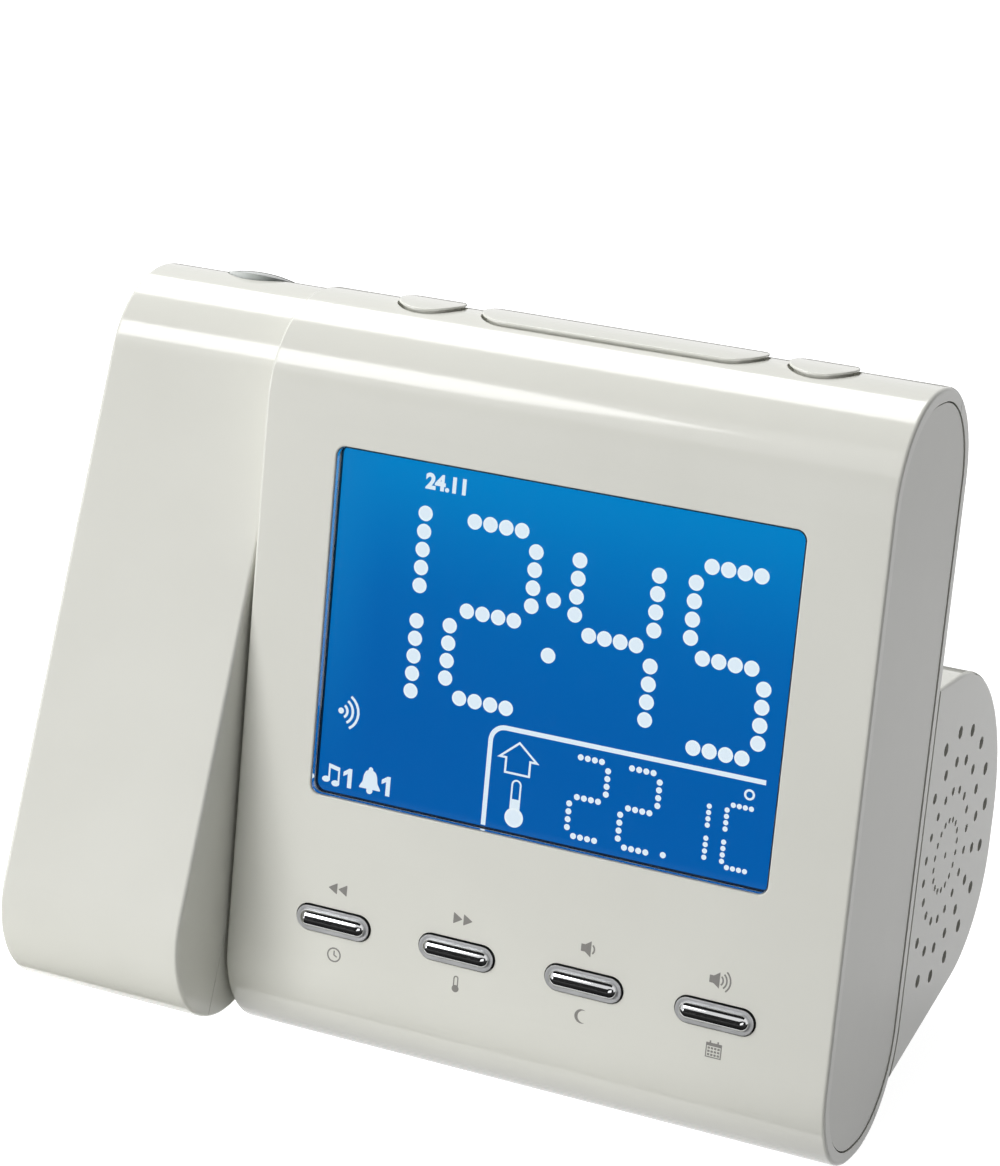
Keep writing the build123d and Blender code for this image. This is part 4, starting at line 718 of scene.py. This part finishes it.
# %% Rubber, steel, boards and the rest
rubber = mottled("rubber_black_moulded", "#191919", "#222222", spot=1.2, rough=(0.75, 0.9), relief=0.02,
                 grain=0.25)
steel = mottled("steel_zinc_plated", "#A9AAAC", "#B9BBBE", spot=1.6, rough=(0.22, 0.34), relief=0.002,
                grain=0.3, Metallic=1.0)
black_abs = mottled("abs_black_satin", "#0E0E0F", "#141415", spot=3.0, rough=(0.4, 0.5), relief=0.006,
                    grain=0.4, IOR=1.53)
inner_abs = mottled("abs_natural_inner", "#C9C8C0", "#D0CFC8", spot=8.0, rough=(0.4, 0.5), relief=0.004,
                    grain=0.8, IOR=1.53)
guide_acrylic = mottled("acrylic_light_guide", "#A9CBE8", "#B7D6EF", spot=7.0, rough=(0.25, 0.35), IOR=1.49)
circuit = mottled("epoxy_glass_board_green", "#0B3D1F", "#11502A", spot=0.9, rough=(0.35, 0.5), relief=0.01,
                  grain=0.35)
tin = mottled("tinplate_shield", "#A5A7A8", "#B4B6B7", spot=4.0, rough=(0.25, 0.4), relief=0.003, grain=1.0,
              Metallic=1.0)
basket_paint = mottled("steel_painted_black", "#141415", "#1B1B1C", spot=2.0, rough=(0.45, 0.6),
                       relief=0.004, grain=0.3)
paper = mottled("pulp_paper_black", "#101011", "#1A1A1B", spot=0.8, rough=(0.8, 0.95), relief=0.03,
                grain=0.3)
foam = mottled("foam_gasket_black", "#111112", "#1C1C1D", spot=0.5, rough=(0.85, 0.98), relief=0.05,
               grain=0.35)
ferrite = mottled("ferrite_sintered", "#232324", "#2D2D2E", spot=1.0, rough=(0.5, 0.7), relief=0.01,
                  grain=0.2)
cell_jacket = mottled("cell_jacket_printed_grey", "#7D7E82", "#88898D", spot=5.0, rough=(0.25, 0.35))
print("finishes so far:", len(bpy.data.materials))

# %% [markdown]
# ## Projector glass
#
# In the top of the arm sits the projection lens, a low dome of coated glass in a black barrel. Seen from the
# side it mirrors the room more than it shows its inside, pale on the left and dark on the right. This small
# studio has no room around it, so that change is a painted reflection in the glass's base colour: nearly
# white at the left edge, a light grey past the middle and nearly black at the right, with a little noise in
# it.

# %% Lens glass with a painted reflection, and the lamp
lens_low, lens_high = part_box("projector_lens")
lens_glass, tree, shader, place = new_finish("lens_glass_painted_reflection", IOR=1.52, Roughness=0.06,
                                             Transmission_Weight=0.1)
reflection_noise = add(tree, "ShaderNodeTexNoise", {"Vector": place, "Scale": 1.0 / (3.0 * MM), "Detail": 2.0})
sides = add(tree, "ShaderNodeSeparateXYZ", {"Vector": place})
NOISE_SHARE = 0.1
across_lens = add(tree, "ShaderNodeMapRange",
                  {"Value": sides.outputs["X"], "From Min": lens_low.x, "From Max": lens_high.x,
                   "To Min": 0.0, "To Max": 1.0 - NOISE_SHARE})
faint = add(tree, "ShaderNodeMath", {0: reflection_noise.outputs["Fac"], 1: NOISE_SHARE}, operation="MULTIPLY")
both = add(tree, "ShaderNodeMath", {0: across_lens.outputs["Result"], 1: faint.outputs["Value"]},
           operation="ADD")
# painted reflection: a ramp from pale to black across the lens stands in for the room mirrored in the glass
painted_reflection = add(tree, "ShaderNodeValToRGB", {"Fac": both.outputs["Value"]})
set_stops(painted_reflection, ((0.0, "#F2F5F3"), (0.6, "#B9BEBB"), (1.0, "#2A2D2C")))
tree.links.new(painted_reflection.outputs["Color"], shader.inputs["Base Color"])
lamp_epoxy = mottled("lamp_epoxy_red", "#A01512", "#B41D18", spot=2.0, rough=(0.12, 0.2), IOR=1.54)
print("lens finish:", lens_glass.name)

# %% [markdown]
# ## Which solid gets which finish
#
# The list below is the clock's bill of materials. A solid keeps its own mesh and only its material slot is
# filled, and a solid that is missing from the list stops the script, so nothing stays bare. The keys and top
# buttons are in it too, although the surfaces above stand in for them.

# %% Hand out the finishes
FINISHES = {
    gloss_abs: ("front_housing", "rear_housing", "pod_housing", "arm_front_shell", "arm_rear_shell",
                "alarm_button_left", "snooze_button", "alarm_button_right"),
    panel_abs: ("right_panel", "left_panel", "battery_door"),
    acrylic: ("window_lens",),
    frame_black: ("window_bezel",),
    backlit: ("display_glass",),
    guide_acrylic: ("light_guide",),
    inner_abs: ("display_tray", "battery_tray", "foot_posts", "pivot_bush", "projector_frame"),
    circuit: ("main_board", "key_board", "top_board", "lamp_board", "driver_board"),
    tin: ("radio_module",),
    black_abs: ("clock_chip", "key_switches", "top_switches", "dc_jack", "antenna_gland", "lens_barrel",
                "focus_wheel", "slide_display"),
    foam: ("speaker_gasket",),
    basket_paint: ("speaker_basket",),
    paper: ("speaker_cone",),
    ferrite: ("speaker_magnet",),
    cell_jacket: ("batteries",),
    steel: ("battery_springs", "battery_plates", "pivot_shaft", "pivot_clip", "friction_washer",
            "housing_screws", "pod_screws", "tray_screws", "board_screws", "arm_screws"),
    chrome: ("front_key_1", "front_key_2", "front_key_3", "front_key_4"),
    rubber: ("front_feet", "rear_feet"),
    lens_glass: ("projector_lens", "condenser_lens"),
    lamp_epoxy: ("projector_lamp",),
}
given = set()
for material, names in FINISHES.items():
    for name in names:
        given.add(name)
        for slot in solids[name].material_slots:
            slot.material = material
bare = sorted(set(solids) - given)
if bare:
    raise ValueError(f"no finish for {bare}")
print("solids with a finish:", len(given))

# %% [markdown]
# ## The studio
#
# Glossy plastic is lit by what it mirrors. The clock's rounded top edge mirrors the sky over it, so two long
# softboxes hang there: one in front and above, which tapers to a point, and one over and behind. A small one
# low on the right shows only in what faces right, such as the round ends of the keys. Their places follow
# from the law of reflection, with directions given as the share along X and the height angle in the plane
# across it. Black flags keep the colours deep: one in front, which the flat front, the window and the keys
# mirror, two over parts of the floor and one in the gap between the long softboxes. A white board on the
# floor before the clock sends a little light up the front, and a softer lamp at the front left models the
# shapes.

# %% Softboxes and flags


def toward(place, share, degrees, distance):
    """A point at a distance from a place: X is the share, the rest turns from the front (0) to overhead."""
    rest = math.sqrt(1.0 - share ** 2)
    angle = math.radians(degrees)
    way = np.array([share, -rest * math.cos(angle), rest * math.sin(angle)])
    return (np.asarray(place) + distance * way).tolist()


def hanging(distance, *corners):
    """Corners of a card around the clock, each given by the place that sees it, its share and its angle."""
    return [toward(place, share, degrees, distance) for place, share, degrees in corners]


def lying(left, right, near, far, height):
    """Corners of a card that lies flat at a height."""
    return [(left, near, height), (right, near, height), (right, far, height), (left, far, height)]


def card(name, corners, material):
    """A flat card through the corners, seen only in reflections and by its light."""
    mesh = bpy.data.meshes.new(name)
    mesh.from_pydata(corners, [], [list(range(len(corners)))])
    mesh.materials.append(material)
    thing = bpy.data.objects.new(name, mesh)
    bpy.context.scene.collection.objects.link(thing)
    thing.visible_camera = False
    return thing


def glowing(name, strength):
    """A white diffuser cloth lit from behind: plain emission."""
    material = bpy.data.materials.new(name)
    material.use_nodes = True
    tree = material.node_tree
    tree.nodes.clear()
    light = add(tree, "ShaderNodeEmission", {"Color": light_of("#FFFFFF"), "Strength": strength})
    out = add(tree, "ShaderNodeOutputMaterial")
    tree.links.new(light.outputs["Emission"], out.inputs["Surface"])
    return material


TOP_LEFT, TOP_MIDDLE, TOP_RIGHT = (-0.07, -0.02, 0.115), (0.003, -0.02, 0.115), (0.041, -0.02, 0.115)
KEYS = (0.0, -0.05, 0.05)
REACH, KEYS_REACH, FLAG_REACH = 1.5, 0.4, 1.45
front_box = card("softbox_front",
                 hanging(REACH, (TOP_LEFT, -0.62, 46.0), (TOP_LEFT, -0.62, 66.0), (TOP_MIDDLE, -0.40, 64.0),
                         (TOP_RIGHT, -0.333, 57.0), (TOP_MIDDLE, -0.40, 48.5)),
                 glowing("diffuser_front", 8.0))
top_box = card("softbox_top",
               hanging(REACH, (TOP_LEFT, -0.62, 104.0), (TOP_LEFT, -0.62, 139.0), (TOP_RIGHT, -0.12, 139.0),
                       (TOP_RIGHT, -0.12, 104.0)),
               glowing("diffuser_top", 6.5))
right_box = card("softbox_right",
                 hanging(KEYS_REACH, (KEYS, 0.4, -4.0), (KEYS, 0.74, -4.0), (KEYS, 0.74, 32.0),
                         (KEYS, 0.4, 32.0)),
                 glowing("diffuser_right", 1.6))

FLAG_LEFT, FLAG_RIGHT, FLAG_NEAR, FLAG_HIGH = -0.38, 0.9, -0.42, 0.46
FLAG_LIFT, BOARD_LIFT = 0.002, 0.004
flag_black = mottled("flag_cloth_black", "#040404", "#060606", spot=5.0, rough=(0.9, 1.0))
standing = [(FLAG_LEFT, FLAG_NEAR, 0.0), (FLAG_LEFT, FLAG_NEAR, FLAG_HIGH),
            (FLAG_RIGHT, FLAG_NEAR, FLAG_HIGH), (FLAG_RIGHT, FLAG_NEAR, 0.0)]
flags = [card("flag_front", standing, flag_black),
         card("flag_floor", lying(FLAG_LEFT, FLAG_RIGHT, FLAG_NEAR, -0.04, FLAG_LIFT), flag_black),
         card("flag_back", lying(-0.6, 0.1, 0.2, 0.9, FLAG_LIFT), flag_black),
         card("flag_top", hanging(FLAG_REACH, (TOP_LEFT, -0.75, 67.0), (TOP_LEFT, -0.75, 101.0),
                                  (TOP_RIGHT, 0.5, 101.0), (TOP_RIGHT, 0.5, 67.0)), flag_black)]
for thing in flags + [right_box]:
    thing.visible_diffuse = thing.visible_shadow = False
bounce_white = mottled("foam_board_white", "#EAEAE6", "#F0F0EC", spot=30.0, rough=(0.8, 0.9))
bounce = card("bounce_board", lying(-0.12, 0.06, -0.1, -0.04, BOARD_LIFT), bounce_white)
bounce.visible_glossy = bounce.visible_transmission = bounce.visible_shadow = False
print("cards in the studio:", front_box.name, top_box.name, right_box.name, len(flags), "flags")

# %% Side light


def area_light(name, place, target, size, power):
    """A rectangular lamp that looks from its place at a target."""
    lamp = bpy.data.lights.new(name, "AREA")
    lamp.shape, lamp.size, lamp.size_y = "RECTANGLE", size[0], size[1]
    lamp.energy = power
    thing = bpy.data.objects.new(name, lamp)
    bpy.context.scene.collection.objects.link(thing)
    thing.location = place
    thing.rotation_euler = (Vector(target) - Vector(place)).to_track_quat("-Z", "Y").to_euler()
    return thing


left_light = area_light("light_left", (-0.7, -1.3, 0.36), (0, 0, 0.06), (1.2, 0.8), 14.0)
print("lamps:", left_light.name)

# %% [markdown]
# ## Floor and background
#
# The clock stands on a plain pale floor that runs out into white. The floor's own colour is lit like the
# clock, and a little extra glow that only the camera, mirrors and glass see lifts it to white, while the
# clock's soft shadow stays. From below the floor is clear, so the underside can be looked at. The world does
# as the floor does: white where it is seen, and a plain grey fill as light.

# %% Floor and world
FLOOR_HALF, FLOOR_LIFT, WORLD_FILL = 3.0, 0.95, 0.18
floor_mesh = bpy.data.meshes.new("floor")
floor_mesh.from_pydata(lying(-FLOOR_HALF, FLOOR_HALF, -FLOOR_HALF, FLOOR_HALF, 0.0), [], [(0, 1, 2, 3)])
floor = bpy.data.objects.new("floor", floor_mesh)
bpy.context.scene.collection.objects.link(floor)


def seen_directly(tree):
    """1 for rays from the camera, from a mirror or through glass, else 0."""
    path = add(tree, "ShaderNodeLightPath")
    first = add(tree, "ShaderNodeMath", {0: path.outputs["Is Camera Ray"], 1: path.outputs["Is Glossy Ray"]},
                operation="MAXIMUM")
    return add(tree, "ShaderNodeMath", {0: first.outputs["Value"], 1: path.outputs["Is Transmission Ray"]},
               operation="MAXIMUM").outputs["Value"]


floor_paper, tree, shader, place = new_finish("backdrop_paper_white", Base_Color=light_of("#A0A0A0"),
                                              Roughness=0.9, Specular_IOR_Level=0.0)
lift = add(tree, "ShaderNodeMath", {0: seen_directly(tree), 1: FLOOR_LIFT}, operation="MULTIPLY")
tree.links.new(lift.outputs["Value"], shader.inputs["Emission Strength"])
shader.inputs["Emission Color"].default_value = light_of("#FFFFFF")
below = add(tree, "ShaderNodeNewGeometry").outputs["Backfacing"]
clear = add(tree, "ShaderNodeBsdfTransparent")
one_sided = add(tree, "ShaderNodeMixShader",
                {"Fac": below, 1: shader.outputs["BSDF"], 2: clear.outputs["BSDF"]})
tree.links.new(one_sided.outputs["Shader"], tree.nodes["Material Output"].inputs["Surface"])
floor_mesh.materials.append(floor_paper)

world = bpy.context.scene.world or bpy.data.worlds.new("World")
bpy.context.scene.world = world
world.use_nodes = True
tree = world.node_tree
tree.nodes.clear()
fill = add(tree, "ShaderNodeBackground", {"Color": light_of("#FFFFFF"), "Strength": WORLD_FILL})
white = add(tree, "ShaderNodeBackground", {"Color": light_of("#FFFFFF"), "Strength": 1.0})
either = add(tree, "ShaderNodeMixShader", {"Fac": seen_directly(tree), 1: fill.outputs["Background"],
                                           2: white.outputs["Background"]})
add(tree, "ShaderNodeOutputWorld", {"Surface": either.outputs["Shader"]})
print("floor", 2 * FLOOR_HALF, "m wide, fill", WORLD_FILL)

# %% [markdown]
# ## Camera
#
# The camera looks from the right and slightly above, through a long lens, so that upright edges hardly
# converge. Its place is given on the body's bench, with its three axes as plain directions there.

# %% Place the camera
SENSOR, FOCAL_LENGTH = 36.0, 105.77
EYE = (199.39, -479.72, 140.87)
RIGHT, UP, BACK = (0.90437, 0.41756, 0.08809), (-0.17831, 0.18220, 0.96696), (0.38771, -0.89020, 0.23923)
camera_data = bpy.data.cameras.new("camera")
camera_data.sensor_fit, camera_data.sensor_height, camera_data.sensor_width = "VERTICAL", SENSOR, SENSOR
camera_data.lens = FOCAL_LENGTH
camera_data.clip_start, camera_data.clip_end = 0.01, 50.0
camera = bpy.data.objects.new("camera", camera_data)
bpy.context.scene.collection.objects.link(camera)
axes = np.array([body_turn @ np.array(way) for way in (RIGHT, UP, BACK)])
eye = on_body([EYE])[0]
camera.matrix_world = Matrix([[*axes[:, row], eye[row]] for row in range(3)] + [[0, 0, 0, 1]])
scene = bpy.context.scene
scene.camera = camera
scene.view_settings.view_transform = "Standard"
print("camera at", eye.round(3))
